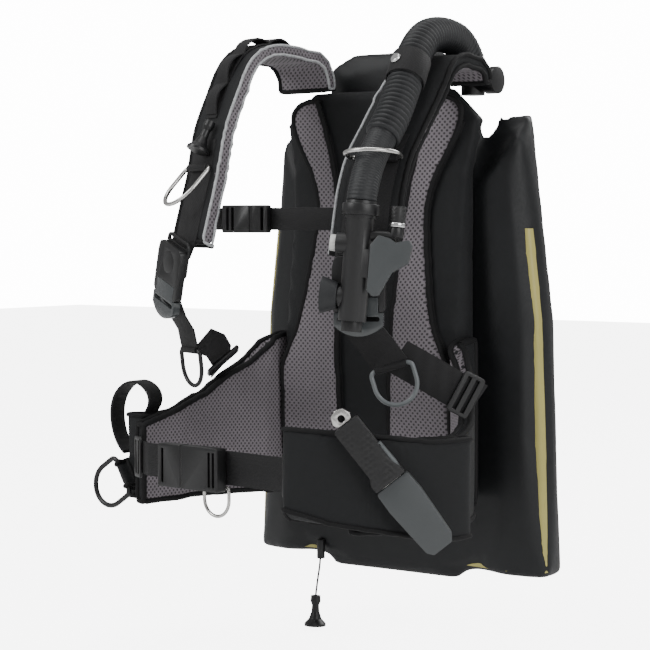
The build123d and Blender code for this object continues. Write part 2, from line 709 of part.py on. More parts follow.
for side, name in ((-1, "right"), (1, "left")):
    data = LOWER[side]
    end = Vector(*data["drop"][-1])
    across = Vector(*data["across"]).normalized()
    down = (end - Vector(*data["drop"][-2])).normalized()
    down = (down - across * down.dot(across)).normalized()
    loop_centre = end + down * (LOOP_R - 0.4)
    loop_plane = Plane(origin=loop_centre - across * (LOWER_WIDTH / 2 - 2), z_dir=across)
    with BuildPart() as shoulder_webbing:
        add(webbing_run(data["drop"], data["across"], LOWER_WIDTH).part)
        with BuildSketch(loop_plane):
            Circle(LOOP_R)
        extrude(amount=LOWER_WIDTH - 4)
        with BuildSketch(loop_plane.offset(-5)):
            Circle(PLASTIC_WIRE / 2 + PIN_CLEARANCE)
        extrude(amount=LOWER_WIDTH + 10, mode=Mode.SUBTRACT)
    shoulder_webbings.append(shoulder_webbing)

    ring_plane = turned(Plane(origin=loop_centre, x_dir=across, z_dir=across.cross(-down)),
        -data["ring_tilt"])
    write(f"d_ring_shoulder_{name}", d_ring(ring_plane, LOWER_RING_WIDTH, LOWER_RING_DROP, PLASTIC_WIRE))

    side_webbings.append(webbing_run(data["rear"], data["rear_across"], LOWER_WIDTH))
    lock_a, lock_b = [Vector(*point) for point in data["rear"][-2:]]
    lock_along = (lock_b - lock_a).normalized()
    lock_across = Vector(*data["rear_across"])
    lock_across = (lock_across - lock_along * lock_across.dot(lock_along)).normalized()
    lock_out = lock_along.cross(lock_across)
    lock_plane = Plane(origin=lock_a + lock_along * 14 + lock_out * (WEBBING / 2 + SEAT_GAP),
                       x_dir=lock_across, z_dir=lock_out)
    with BuildPart() as ladder_lock:
        with BuildSketch(lock_plane):
            RectangleRounded(LOWER_WIDTH + 8, 26, 4)
            with Locations((0, 5), (0, -5)):
                Rectangle(LOWER_WIDTH, 4.5, mode=Mode.SUBTRACT)
        extrude(amount=4)
    ladder_locks.append(ladder_lock)
write_group("shoulder_webbings", shoulder_webbings)
write_group("side_webbings", side_webbings)
write_group("ladder_locks", ladder_locks)

# ---- chest strap -------------------------------------------------------------------
CHEST_TURN = 7.7
CHEST_BUCKLE = (-37.0, -361.3)
CHEST_BUCKLE_LENGTH = 58.0
CHEST_BUCKLE_HEIGHT = 31.0
CHEST_BUCKLE_DEPTH = 10.0
CHEST_TRAVEL = 22.0


def side_release(plane, length, height, depth, webbing_width, side):
    """The two halves of a side-release buckle; the socket is on the given side of the plane.

    The prongs reach into the socket, and each half has a bar for its webbing.
    """
    split_x = side * length * 0.12
    outer_x = side * length / 2
    reach = side * (length * 0.30)
    with BuildPart() as socket:
        with BuildSketch(plane.offset(-depth / 2)):
            with Locations(((split_x + outer_x) / 2, 0)):
                RectangleRounded(abs(outer_x - split_x), height, 2.5)
            with Locations((outer_x - side * 7, 0)):
                Rectangle(3.5, webbing_width, mode=Mode.SUBTRACT)
        extrude(amount=depth)
        with BuildSketch(plane.offset(-depth / 2 + 2)):
            with Locations(((split_x + reach) / 2, 0)):
                Rectangle(abs(reach - split_x) + 0.02, height - 8)
        extrude(amount=depth - 4, mode=Mode.SUBTRACT)
    with BuildPart() as prongs:
        base_x = split_x - side * 0.5
        far_x = -outer_x
        with BuildSketch(plane.offset(-depth / 2)):
            with Locations(((base_x + far_x) / 2, 0)):
                RectangleRounded(abs(base_x - far_x), height, 2.5)
            with Locations((far_x + side * 7, 0)):
                Rectangle(3.5, webbing_width, mode=Mode.SUBTRACT)
            with Locations((far_x + side * 13.5, 0)):
                Rectangle(3.5, webbing_width, mode=Mode.SUBTRACT)
        extrude(amount=depth)
        with BuildSketch(plane.offset(-depth / 2 + 2.4)):
            with Locations(((base_x + reach) / 2 - side * 1.5, height / 2 - 7.5),
                           ((base_x + reach) / 2 - side * 1.5, 7.5 - height / 2)):
                Rectangle(abs(reach - base_x) + 1, 6)
        extrude(amount=depth - 4.8)
    return socket, prongs


chest_plane = facing((*CHEST_BUCKLE, CHEST_Z), CHEST_TURN)
chest_female, chest_male = side_release(chest_plane, CHEST_BUCKLE_LENGTH, CHEST_BUCKLE_HEIGHT,
                                        CHEST_BUCKLE_DEPTH, CHEST_WEBBING_WIDTH + 1, 1)
write("chest_buckle_female", chest_female)
write("chest_buckle_male", chest_male)


def on_plane(plane, x, z=0.0, y=0.0):
    """World point at local coordinates of a plane."""
    return plane.origin + plane.x_dir * x + plane.y_dir * y + plane.z_dir * z


chest_half = CHEST_BUCKLE_LENGTH / 2
chest_back = -CHEST_BUCKLE_DEPTH / 2 - SEAT_GAP - WEBBING / 2
right_hook = on_plane(chest_plane, -chest_half - SEAT_GAP - 0.5)
left_hook = on_plane(chest_plane, chest_half * 0.45, chest_back)
chest_webbing_right = webbing_run([(-103, -338, CHEST_Z), (-82, -350, CHEST_Z), right_hook],
                                  (0, 0, 1), CHEST_WEBBING_WIDTH)
chest_webbing_left = webbing_run([left_hook, on_plane(chest_plane, chest_half + 42, chest_back),
                                  (80, -334, CHEST_Z), (104, -323, CHEST_Z)],
                                 (0, 0, 1), CHEST_WEBBING_WIDTH)
write_group("chest_webbings", [chest_webbing_right, chest_webbing_left])

# ---- waist belt --------------------------------------------------------------------
WAIST_TURN = -5.8
WAIST_BUCKLE = (-85.0, -401.5)
WAIST_BUCKLE_LENGTH = 94.0
WAIST_BUCKLE_HEIGHT = 49.0
WAIST_BUCKLE_DEPTH = 14.0
WAIST_TRAVEL = 28.0
belt_plane = facing((*WAIST_BUCKLE, BELT_Z - 2), WAIST_TURN)
waist_female, waist_male = side_release(belt_plane, WAIST_BUCKLE_LENGTH, WAIST_BUCKLE_HEIGHT,
                                        WAIST_BUCKLE_DEPTH, BELT_WIDTH + 1, -1)
write("waist_buckle_female", waist_female)
write("waist_buckle_male", waist_male)

belt_half = WAIST_BUCKLE_LENGTH / 2
slide_back = -WAIST_BUCKLE_DEPTH / 2 - SEAT_GAP - WEBBING / 2
right_start = on_plane(belt_plane, -belt_half - WAIST_TRAVEL - 2, slide_back, 2)
belt_webbing_right = webbing_run([(-209.5, -349.3, BELT_Z), (-196, -364, BELT_Z), right_start,
                                  on_plane(belt_plane, -belt_half * 0.55, slide_back, 2)],
                                 (0, 0, 1), BELT_WIDTH)

BELLY_WIRE = 4.0
BELLY_RING_WIDTH = 34.0
BELLY_RING_DROP = 34.0
belly_loop_r = BELLY_WIRE / 2 + PIN_CLEARANCE + 1.4
belt_back = -WAIST_BUCKLE_DEPTH / 2 - SEAT_GAP - belly_loop_r
belly_centre = on_plane(belt_plane, 29, belt_back, 2 - BELT_WIDTH / 2 - belly_loop_r + 0.5)
with BuildPart() as belt_webbing_left:
    add(webbing_run([on_plane(belt_plane, 4, belt_back, 2), on_plane(belt_plane, 60, belt_back, 2),
                     (48, -409, BELT_Z), (77.8, -415.2, BELT_Z)], (0, 0, 1), BELT_WIDTH).part)
    loop_plane = Plane(origin=belly_centre - belt_plane.x_dir * 12, z_dir=belt_plane.x_dir)
    with BuildSketch(loop_plane):
        Circle(belly_loop_r)
    extrude(amount=24)
    with BuildSketch(loop_plane.offset(-3)):
        Circle(BELLY_WIRE / 2 + PIN_CLEARANCE)
    extrude(amount=36, mode=Mode.SUBTRACT)
write_group("belt_webbings", [belt_webbing_right, belt_webbing_left])
belly_plane = Plane(origin=belly_centre, x_dir=belt_plane.x_dir, z_dir=belt_plane.z_dir)
write("d_ring_belly", d_ring(belly_plane, BELLY_RING_WIDTH, BELLY_RING_DROP, BELLY_WIRE))


def triglide(plane):
    """Three-bar slider that sits on the face of the belt."""
    with BuildPart() as slider:
        with BuildSketch(plane.offset(WEBBING / 2 + SEAT_GAP)):
            RectangleRounded(20, BELT_WIDTH + 10, 3)
            with Locations((-4.5, 0), (4.5, 0)):
                Rectangle(4, BELT_WIDTH + 1, mode=Mode.SUBTRACT)
        extrude(amount=3.5)
    return slider




def triglide_between(start, end, share):
    """Slider part of the way along a straight run of the belt."""
    along = end - start
    return triglide(Plane(origin=start + along * share, x_dir=along, z_dir=along.cross(Vector(0, 0, 1))))


write_group("triglides", [triglide_between(Vector(-196, -364, BELT_Z), right_start, 0.28),
                          triglide_between(Vector(48, -409, BELT_Z), Vector(77.8, -415.2, BELT_Z), 0.45)])

waist_ring = d_ring(turned(waist_ring_plane, -4), WAIST_RING_WIDTH, WAIST_RING_DROP, WAIST_WIRE)
write("d_ring_waist_right", waist_ring)

# Grab loop that stands up from the top of the right waist lobe.
with BuildPart() as loop_handle:
    with BuildSketch(Plane.XZ.offset(330)):
        with BuildLine():
            outer_loop = Spline((-216, -135.7), (-209, -108), (-232, -96), (-262, -112), (-268, -150),
                                (-248, -185))
            inner_loop = Spline((-219, -135.7), (-212, -111), (-232, -99), (-259, -114), (-265, -150),
                                (-247.5, -181))
            Line(outer_loop @ 0, inner_loop @ 0)
            Line(outer_loop @ 1, inner_loop @ 1)
        make_face()
    extrude(amount=-24)
write("loop_handle", loop_handle)

# ---- corrugated hose over the left shoulder ----------------------------------------
HOSE_BORE_R = 13.0
HOSE_ROUTE = [(131, -380, 116), (131.4, -379, 127), (127.2, -357.6, 159.3), (128.1, -336, 184.995),
              (129.2, -309.6, 216.4), (116, -246, 296), (110, -190, 311), (106, -126, 302),
              (106, -107, 262)]


def tangent_radii(points):
    """Largest arc at each corner that leaves a tenth of the shorter run straight."""
    radii = []
    for before, corner, after in zip(points, points[1:], points[2:]):
        run_in = Vector(*corner) - Vector(*before)
        run_out = Vector(*after) - Vector(*corner)
        turn = run_in.get_angle(run_out)
        radii.append(0.45 * min(run_in.length, run_out.length) / max(0.01, tan(radians(turn / 2))))
    return radii


def tube(points, outer_r, inner_r=0.0):
    """Round tube along straight runs joined by tangent arcs."""
    radii = tangent_radii(points)
    with BuildPart() as pipe:
        with BuildLine() as route:
            FilletPolyline(*points, radius=radii)
        with BuildSketch(Plane(origin=points[0], z_dir=Vector(*points[1]) - Vector(*points[0]))):
            Circle(outer_r)
            if inner_r:
                Circle(inner_r, mode=Mode.SUBTRACT)
        sweep(path=route.wires()[0])
    return pipe


write("hose_cuff", tube(HOSE_ROUTE[:4], HOSE_NECK_R, HOSE_BORE_R))
write("corrugated_hose", tube(HOSE_ROUTE[3:], HOSE_R, HOSE_BORE_R))

hose_end = Vector(*HOSE_ROUTE[-1])
end_along = (hose_end - Vector(*HOSE_ROUTE[-2])).normalized()
with BuildPart() as hose_elbow:
    with BuildSketch(Plane.XY.offset(ELBOW_SEAT_Z + SEAT_GAP)):
        with Locations((hose_end.X, hose_end.Y)):
            Circle(14)
    extrude(amount=16)
    with BuildSketch(Plane.YZ.offset(hose_end.X)):
        with Locations((hose_end.Y, ELBOW_SEAT_Z + 17)):
            Circle(14)
    extrude(amount=20)
    with BuildSketch(Plane.YZ.offset(hose_end.X + 20)):
        with Locations((hose_end.Y, ELBOW_SEAT_Z + 17)):
            Circle(16)
    extrude(amount=14)
    with BuildSketch(Plane(origin=hose_end, z_dir=end_along)):
        Circle(HOSE_R + 6)
    extrude(amount=-30, mode=Mode.SUBTRACT)
write("hose_elbow", hose_elbow)

keeper_a, keeper_b = Vector(*HOSE_ROUTE[4]), Vector(*HOSE_ROUTE[5])
keeper_along = (keeper_b - keeper_a).normalized()
keeper_centre = keeper_a + (keeper_b - keeper_a) * 0.55
keeper_across = Vector(0.92, 0.25, 0)
keeper_across = (keeper_across - keeper_along * keeper_across.dot(keeper_along)).normalized()
keeper_plane = Plane(origin=keeper_centre - keeper_along * 17, x_dir=keeper_across, z_dir=keeper_along)
with BuildPart() as hose_keeper:
    with BuildSketch(keeper_plane):
        Circle(HOSE_R + SEAT_GAP + WEBBING)
        Circle(HOSE_R + SEAT_GAP, mode=Mode.SUBTRACT)
    extrude(amount=34)
snap_out = keeper_along.cross(keeper_across) * -1
if snap_out.Z < 0:
    snap_out = snap_out * -1
snap_out = (snap_out - keeper_across * 0.45).normalized()
with BuildPart() as snap_button:
    with BuildSketch(Plane(origin=keeper_centre + snap_out * (HOSE_R + 2 * SEAT_GAP + WEBBING),
        z_dir=snap_out)):
        Circle(6.5)
    extrude(amount=2.5, taper=25)
write_group("hose_keeper", [hose_keeper, snap_button])

# ---- power inflator ----------------------------------------------------------------
INFLATOR_FOOT = Vector(126, -392, -20)
inflator_axis = (Vector(*HOSE_ROUTE[0]) - INFLATOR_FOOT).normalized()
inflator_top = (Vector(*HOSE_ROUTE[0]) - INFLATOR_FOOT).length - SEAT_GAP
inflator_across = Vector(cos(radians(STRAP_TURN)), sin(radians(STRAP_TURN)), 0)
inflator_across = inflator_across - inflator_axis * inflator_axis.dot(inflator_across)
inflator = Plane(origin=INFLATOR_FOOT, x_dir=inflator_across, z_dir=inflator_axis)
MOUTH_Z = 34.0
INFLATE_Z = 90.0
ARM_Z = 100.0
ARM_X = 40.0
MOUTH_REACH = 17.0
GRIP_X = 36.0
GRIP_Z = 70.0
GRIP_FORWARD = 10.0
INFLATE_R = 9.0
DEFLATE_R = 11.0
COLLAR = (121.0, 133.0)
COLLAR_R = 20.0
BUTTON_TRAVEL = 3.0


def inflator_side(x, z, toward):
    """Plane at a height on the inflator that faces along its own x; toward is +1 or -1."""
    return Plane(origin=on_plane(inflator, x, z), x_dir=inflator.y_dir, z_dir=inflator.x_dir * toward)


with BuildPart() as inflator_body:
    with BuildSketch(inflator.offset(8)):
        Circle(INFLATOR_R)
    extrude(amount=110)
    with BuildSketch(inflator.offset(118)):
        Circle(HOSE_NECK_R)
    extrude(amount=inflator_top - 118)
    with BuildSketch(inflator_side(0, MOUTH_Z, -1)):
        Circle(11)
    extrude(amount=MOUTH_REACH)
    with BuildSketch(inflator_side(0, INFLATE_Z, -1)):
        Circle(INFLATE_R + 2.5)
    extrude(amount=23)
    with BuildSketch(inflator_side(0, ARM_Z, 1)):
        Circle(6.5)
    extrude(amount=ARM_X)
    with BuildSketch(inflator_side(0, GRIP_Z, 1)):
        with Locations((-GRIP_FORWARD, 0)):
            Rectangle(6, 30)
    extrude(amount=GRIP_X - 21 - SEAT_GAP)
    with BuildSketch(inflator.offset(ARM_Z)):
        with Locations((ARM_X, 0)):
            Circle(7.5)
    extrude(amount=10)
    with BuildSketch(inflator_side(-14.2, INFLATE_Z, -1)):
        Circle(INFLATE_R + PIN_CLEARANCE)
    extrude(amount=20, mode=Mode.SUBTRACT)
    with BuildSketch(inflator.offset(0)):
        Circle(DEFLATE_R + PIN_CLEARANCE)
    extrude(amount=16, mode=Mode.SUBTRACT)
write("inflator_body", inflator_body)

with BuildPart() as hose_collar:
    with BuildSketch(inflator.offset(COLLAR[0])):
        Circle(COLLAR_R)
        Circle(HOSE_NECK_R + 0.1, mode=Mode.SUBTRACT)
    extrude(amount=COLLAR[1] - COLLAR[0])
write("hose_collar", hose_collar)

with BuildPart() as mouthpiece:
    mouth_plane = inflator_side(-MOUTH_REACH - SEAT_GAP, MOUTH_Z, -1)
    with BuildSketch(mouth_plane):
        Ellipse(12, 14)
    with BuildSketch(mouth_plane.offset(9)):
        Ellipse(13, 17)
    with BuildSketch(mouth_plane.offset(18)):
        Ellipse(15, 20)
    loft()
    with BuildSketch(mouth_plane.offset(6)):
        Ellipse(8, 12)
    extrude(amount=13, mode=Mode.SUBTRACT)
write("mouthpiece", mouthpiece)

with BuildPart() as inflate_button:
    with BuildSketch(inflator_side(-14.2 - BUTTON_TRAVEL - 0.3, INFLATE_Z, -1)):
        Circle(INFLATE_R)
    extrude(amount=12)
write("inflate_button", inflate_button)

with BuildPart() as deflate_button:
    with BuildSketch(inflator.offset(-3)):
        Circle(DEFLATE_R)
    extrude(amount=16 - BUTTON_TRAVEL - 0.3 + 3)
write("deflate_button", deflate_button)

with BuildPart() as inlet_coupling:
    with BuildSketch(inflator.offset(ARM_Z + 10 + SEAT_GAP)):
        with Locations((ARM_X, 0)):
            Circle(6.5)
    extrude(amount=8)
    with BuildSketch(inflator.offset(ARM_Z + 16)):
        with Locations((ARM_X, 0)):
            Circle(8.6)
    extrude(amount=17)

with BuildPart() as coupling_ring:
    with BuildSketch(inflator.offset(ARM_Z + 11)):
        with Locations((ARM_X, 0)):
            Circle(8.8)
            Circle(6.5 + PIN_CLEARANCE, mode=Mode.SUBTRACT)
    extrude(amount=4.6)
write_group("inlet_coupling", [inlet_coupling, coupling_ring])

grip = Plane(origin=on_plane(inflator, GRIP_X, GRIP_Z, -GRIP_FORWARD), x_dir=inflator.x_dir,
             z_dir=-inflator.y_dir)
with BuildPart() as grip_plate:
    with BuildSketch(grip.offset(-3)):
        with BuildLine():
            Polyline((-21, 20), (-13, 31), (0, 28), (6, 24), (20, 28), (24, 22), (21, 3), (4, -8),
                     (-8, -33), (-15, -34), (-21, -28), close=True)
        make_face()
        fillet(vertices(), 2.5)
    extrude(amount=6)
write("grip_plate", grip_plate)

# ---- knife and sheath on the left pocket -------------------------------------------
knife = facing((178.5, -400.65, -174), 32.5, lean=38.3)
BLADE_WIDTH = 24.0
BLADE_DEPTH = 3.0
BLADE_LENGTH = 78.0
SHEATH_TOP = -6.0
HANDLE_FOOT = SHEATH_TOP + 1.2
HANDLE_TOP = 72.0
KNIFE_TRAVEL = 90.0
LEVER_PIN = (14.5, 33.0)

with BuildPart() as knife_sheath:
    with BuildSketch(knife.offset(-9.6)):
        with BuildLine():
            Polyline((-20, SHEATH_TOP), (20, SHEATH_TOP), (21, -30), (17, -86), (12, -93), (-12, -93),
                     (-17, -86), (-21, -30), close=True)
        make_face()
        fillet(vertices().group_by(Axis.Z)[0], 4)
    extrude(amount=16.6)
    with BuildSketch(knife.offset(-BLADE_DEPTH / 2 - 0.5)):
        with Locations((0, SHEATH_TOP - BLADE_LENGTH / 2)):
            Rectangle(BLADE_WIDTH + 1, BLADE_LENGTH + 6)
    extrude(amount=BLADE_DEPTH + 1, mode=Mode.SUBTRACT)
write("knife_sheath", knife_sheath)

with BuildPart() as knife_blade:
    with BuildSketch(knife.offset(-BLADE_DEPTH / 2)):
        with BuildLine():
            Polyline((-BLADE_WIDTH / 2, HANDLE_FOOT - 0.3), (BLADE_WIDTH / 2, HANDLE_FOOT - 0.3),
                     (BLADE_WIDTH / 2, -60), (0, SHEATH_TOP - BLADE_LENGTH), (-BLADE_WIDTH / 2, -70),
                     close=True)
        make_face()
        with Locations((0, (HANDLE_TOP + HANDLE_FOOT) / 2)):
            Rectangle(11, HANDLE_TOP - HANDLE_FOOT + 2)
    extrude(amount=BLADE_DEPTH)
    with BuildSketch(knife.offset(-3.5)):
        with Locations((0, HANDLE_TOP + 7)):
            RegularPolygon(11, 8)
            Circle(4, mode=Mode.SUBTRACT)
        with Locations((0, HANDLE_TOP - 4)):
            Rectangle(40, 9.2, mode=Mode.SUBTRACT)
    extrude(amount=9)
write("knife_blade", knife_blade)

with BuildPart() as knife_handle:
    with BuildSketch(knife.offset(-7)):
        with BuildLine():
            Polyline((-19, HANDLE_FOOT), (19, HANDLE_FOOT), (18, 4), (15, 12), (15, HANDLE_TOP),
                     (-15, HANDLE_TOP), (-15, 12), (-19, 4), close=True)
        make_face()
        fillet(vertices(), 2)
    extrude(amount=17)
    with BuildSketch(knife.offset(-BLADE_DEPTH / 2 - 0.1)):
        with Locations((0, (HANDLE_TOP + HANDLE_FOOT) / 2)):
            Rectangle(11.2, HANDLE_TOP - HANDLE_FOOT + 4)
    extrude(amount=BLADE_DEPTH + 0.2, mode=Mode.SUBTRACT)
    with BuildSketch(knife.offset(-4.5)):
        with Locations((16.5, 20)):
            Rectangle(11.5, 40)
        with Locations(LEVER_PIN):
            Circle(1.4, mode=Mode.SUBTRACT)
    extrude(amount=13, mode=Mode.SUBTRACT)
write("knife_handle", knife_handle)

with BuildPart() as knife_lock_lever:
    with BuildSketch(knife.offset(-4.2)):
        with BuildLine():
            Polyline((13.2, 3), (17.5, 3), (18.5, 10), (17.5, 35.5), (12.3, 35.5), (12.3, 30), (13.6, 26),
                     close=True)
        make_face()
        with Locations(LEVER_PIN):
            Circle(1.4 + PIN_CLEARANCE, mode=Mode.SUBTRACT)
    extrude(amount=12.4)
write("knife_lock_lever", knife_lock_lever)

# ---- dump valve pulls --------------------------------------------------------------
CORD_R = 1.2
CORD_ROUTE = [(-103, -122.6, -301), (-103.4, -122.8, -331), (-107.5, -123.2, -353), (-110, -124, -374.5)]


def pull_toggle(plane):
    """Bell-shaped pull with a small eye; the plane's y axis runs up to the cord."""
    with BuildPart() as toggle:
        with BuildSketch(plane):
            with BuildLine():
                Polyline((0, 0), (6, 0), (6.5, -7), (4.5, -12), (5, -20), (8, -29), (13.5, -35),
                         (13.5, -38), (0, -38), close=True)
            make_face()
        revolve(axis=Axis(plane.origin, plane.y_dir))
    return toggle


with BuildPart() as dump_cord_guide:
    with BuildSketch(Plane(origin=(-103, -122.6, -327), z_dir=(0, 0, 1))):
        Circle(5)
        Circle(CORD_R + 1.2, mode=Mode.SUBTRACT)
    extrude(amount=24)
write("dump_cord_guide", dump_cord_guide)
write("dump_cord", tube(CORD_ROUTE, CORD_R))
cord_down = (Vector(*CORD_ROUTE[-1]) - Vector(*CORD_ROUTE[-2])).normalized()
toggle_top = Vector(*CORD_ROUTE[-1]) + cord_down * 0.2
write("dump_toggle_lower", pull_toggle(Plane(origin=toggle_top, x_dir=(1, 0, 0),
    z_dir=Vector(1, 0, 0).cross(-cord_down))))

shoulder_pull = strap_station(-1, STRAP_LENGTHS[-1] - 142, WEBBING_FACE + 6.4, 15)
pull_down = strap_station(-1, STRAP_LENGTHS[-1] - 112, WEBBING_FACE + 12.6, 15)[0] - shoulder_pull[0]
write("dump_toggle_shoulder", pull_toggle(Plane(origin=shoulder_pull[0], x_dir=shoulder_pull[1],
                                                z_dir=shoulder_pull[1].cross(-pull_down))))

with BuildPart() as dump_valve:
    with BuildSketch(Plane.XZ.offset(PANEL_BACK - SEAT_GAP)):
        with Locations((-70, -295)):
            Circle(26)
    extrude(amount=-4)
    with BuildSketch(Plane.XZ.offset(PANEL_BACK - SEAT_GAP - 4)):
        with Locations((-70, -295)):
            Circle(20)
            with PolarLocations(13, 8):
                Circle(2.5, mode=Mode.SUBTRACT)
    extrude(amount=-6)
write("dump_valve", dump_valve)
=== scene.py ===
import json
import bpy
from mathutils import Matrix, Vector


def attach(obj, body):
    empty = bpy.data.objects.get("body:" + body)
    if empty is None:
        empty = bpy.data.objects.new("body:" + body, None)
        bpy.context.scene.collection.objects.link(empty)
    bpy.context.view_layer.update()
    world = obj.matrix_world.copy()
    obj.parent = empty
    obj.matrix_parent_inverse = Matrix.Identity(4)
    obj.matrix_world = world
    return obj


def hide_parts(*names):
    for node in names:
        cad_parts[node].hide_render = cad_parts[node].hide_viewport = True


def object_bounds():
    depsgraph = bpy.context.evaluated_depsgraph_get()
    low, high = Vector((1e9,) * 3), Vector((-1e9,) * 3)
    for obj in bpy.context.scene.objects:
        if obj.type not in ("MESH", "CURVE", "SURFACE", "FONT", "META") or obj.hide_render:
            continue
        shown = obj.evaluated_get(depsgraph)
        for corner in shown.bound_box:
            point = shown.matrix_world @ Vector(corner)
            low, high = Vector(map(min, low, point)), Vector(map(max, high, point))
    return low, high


bl_info = {
    "name": "Buoyancy Vest Maker",
    "version": (1, 0, 0),
    "blender": (4, 5, 0),
    "location": "View3D > Sidebar > Vest",
    "description": "Dresses the frame of a diving vest with its fabric, hose, hardware and studio",
    "category": "Object",
}

from math import cos, pi, radians, sin, tan

import bmesh
import bpy
from mathutils import Vector

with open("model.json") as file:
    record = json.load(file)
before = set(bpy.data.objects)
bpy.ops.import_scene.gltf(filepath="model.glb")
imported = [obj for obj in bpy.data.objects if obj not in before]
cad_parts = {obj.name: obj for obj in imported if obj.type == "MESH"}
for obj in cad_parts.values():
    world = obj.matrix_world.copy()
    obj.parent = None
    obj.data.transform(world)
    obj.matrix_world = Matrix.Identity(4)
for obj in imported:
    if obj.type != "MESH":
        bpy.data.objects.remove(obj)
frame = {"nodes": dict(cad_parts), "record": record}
CAD_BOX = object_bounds()
NODES = frame["nodes"]
BODY_OF = {node: body for body, nodes in frame["record"]["behaviour"]["bodies"].items() for node in nodes}
SLOT_OF = {row["node"]: row["material_slot"] for row in frame["record"]["subparts"]}

# Metres, the same route as the hose solid.
HOSE_ROUTE = [(0.131, -0.380, 0.116), (0.1314, -0.379, 0.127), (0.1272, -0.3576, 0.1593),
              (0.1281, -0.336, 0.184995), (0.1292, -0.3096, 0.2164), (0.116, -0.246, 0.296),
              (0.110, -0.190, 0.311), (0.106, -0.126, 0.302), (0.106, -0.107, 0.262)]
HOSE_RADIUS = 0.020          # outside of the ribs
HOSE_JOIN = 3                # the route's point where the smooth cuff meets the ribbed hose
CORD_ROUTE = [(-0.103, -0.1226, -0.301), (-0.1034, -0.1228, -0.331), (-0.1075, -0.1232, -0.353),
              (-0.110, -0.124, -0.3745)]


# ---- settings ----------------------------------------------------------------------


class VestColours(bpy.types.PropertyGroup):
    """Colours of the vest's finishes."""

    nylon: bpy.props.FloatVectorProperty(
        name="Nylon", description="Outer cloth of the wing, straps and pockets", subtype="COLOR",
        default=(0.0085, 0.0092, 0.0102), min=0, max=1)
    binding: bpy.props.FloatVectorProperty(
        name="Binding", description="Tape that binds the edges", subtype="COLOR",
        default=(0.006, 0.006, 0.0065), min=0, max=1)
    webbing: bpy.props.FloatVectorProperty(
        name="Webbing", description="Woven straps", subtype="COLOR", default=(0.010, 0.0098, 0.0105),
        min=0, max=1)
    spacer: bpy.props.FloatVectorProperty(
        name="Spacer mesh", description="Breathable mesh on the back pad", subtype="COLOR",
        default=(0.185, 0.165, 0.182), min=0, max=1)
    plastic: bpy.props.FloatVectorProperty(
        name="Black plastic", description="Buckles and inflator", subtype="COLOR",
        default=(0.0075, 0.0075, 0.008), min=0, max=1)
    grey: bpy.props.FloatVectorProperty(
        name="Grey plastic", description="Buckle tips, sheath and grip plate", subtype="COLOR",
        default=(0.125, 0.137, 0.142), min=0, max=1)
    rubber: bpy.props.FloatVectorProperty(
        name="Rubber", description="Hose and mouthpiece", subtype="COLOR", default=(0.010, 0.011, 0.0125),
        min=0, max=1)
    piping: bpy.props.FloatVectorProperty(
        name="Piping", description="Pale reflective piping", subtype="COLOR", default=(0.40, 0.41, 0.42),
        min=0, max=1)


class VestSizes(bpy.types.PropertyGroup):
    """Sizes of the sewn and moulded detail."""

    binding_radius: bpy.props.FloatProperty(
        name="Binding radius", description="Half the width of the edge binding", unit="LENGTH",
        default=0.0022, min=0.0005)
    piping_radius: bpy.props.FloatProperty(
        name="Piping radius", description="Radius of the reflective piping", unit="LENGTH",
        default=0.0013, min=0.0004)
    edge_radius: bpy.props.FloatProperty(
        name="Edge radius", description="Rounding of moulded edges", unit="LENGTH", default=0.0006,
        min=0.0001)
    rib_pitch: bpy.props.FloatProperty(
        name="Hose rib pitch", description="Distance between the hose's ribs", unit="LENGTH",
        default=0.0062, min=0.002)
    rib_depth: bpy.props.FloatProperty(
        name="Hose rib depth", description="How deep the hose's grooves are", unit="LENGTH",
        default=0.0030, min=0.0005)
    voxel: bpy.props.FloatProperty(
        name="Padding mesh", description="Mesh size of the padded pieces", unit="LENGTH", default=0.004,
        min=0.002)
    puff: bpy.props.FloatProperty(
        name="Padding swell", description="Most that the padding may swell", unit="LENGTH", default=0.004,
        min=0.0)


# ---- shader groups and materials ---------------------------------------------------


def new_group(name, inputs, outputs):
    """Empty shader group with float inputs and named outputs; gives the group and its two ends."""
    group = bpy.data.node_groups.new(name, "ShaderNodeTree")
    for label, value in inputs:
        socket = group.interface.new_socket(label, in_out="INPUT", socket_type="NodeSocketFloat")
        socket.default_value = value
    for label, kind in outputs:
        group.interface.new_socket(label, in_out="OUTPUT", socket_type=kind)
    return group, group.nodes.new("NodeGroupInput"), group.nodes.new("NodeGroupOutput")


def maths(tree, operation, *values):
    """Math node whose inputs are sockets or numbers; gives its output."""
    node = tree.nodes.new("ShaderNodeMath")
    node.operation = operation
    for place, value in enumerate(values):
        if isinstance(value, (int, float)):
            node.inputs[place].default_value = value
        else:
            tree.links.new(value, node.inputs[place])
    return node.outputs[0]


def weave_group():
    """Crossed threads: a height and a mask of the gaps, where the finish paints shade, at a thread count per
    metre.
    """
    group, start, end = new_group("Crossed weave", [("Threads", 900.0)],
                                  [("Height", "NodeSocketFloat"), ("Gaps", "NodeSocketFloat")])
    place = group.nodes.new("ShaderNodeTexCoord")
    split = group.nodes.new("ShaderNodeSeparateXYZ")
    group.links.new(place.outputs["Object"], split.inputs[0])
    step = maths(group, "MULTIPLY", start.outputs["Threads"], 2 * pi)
    waves = [maths(group, "SINE", maths(group, "MULTIPLY", axis, step)) for axis in split.outputs]
    flat = maths(group, "MULTIPLY", waves[0], waves[2])
    side = maths(group, "MULTIPLY", waves[1], waves[2])
    both = maths(group, "ADD", flat, side)
    group.links.new(maths(group, "MULTIPLY_ADD", both, 0.25, 0.5), end.inputs["Height"])
    group.links.new(maths(group, "LESS_THAN", both, -0.9), end.inputs["Gaps"])
    return group


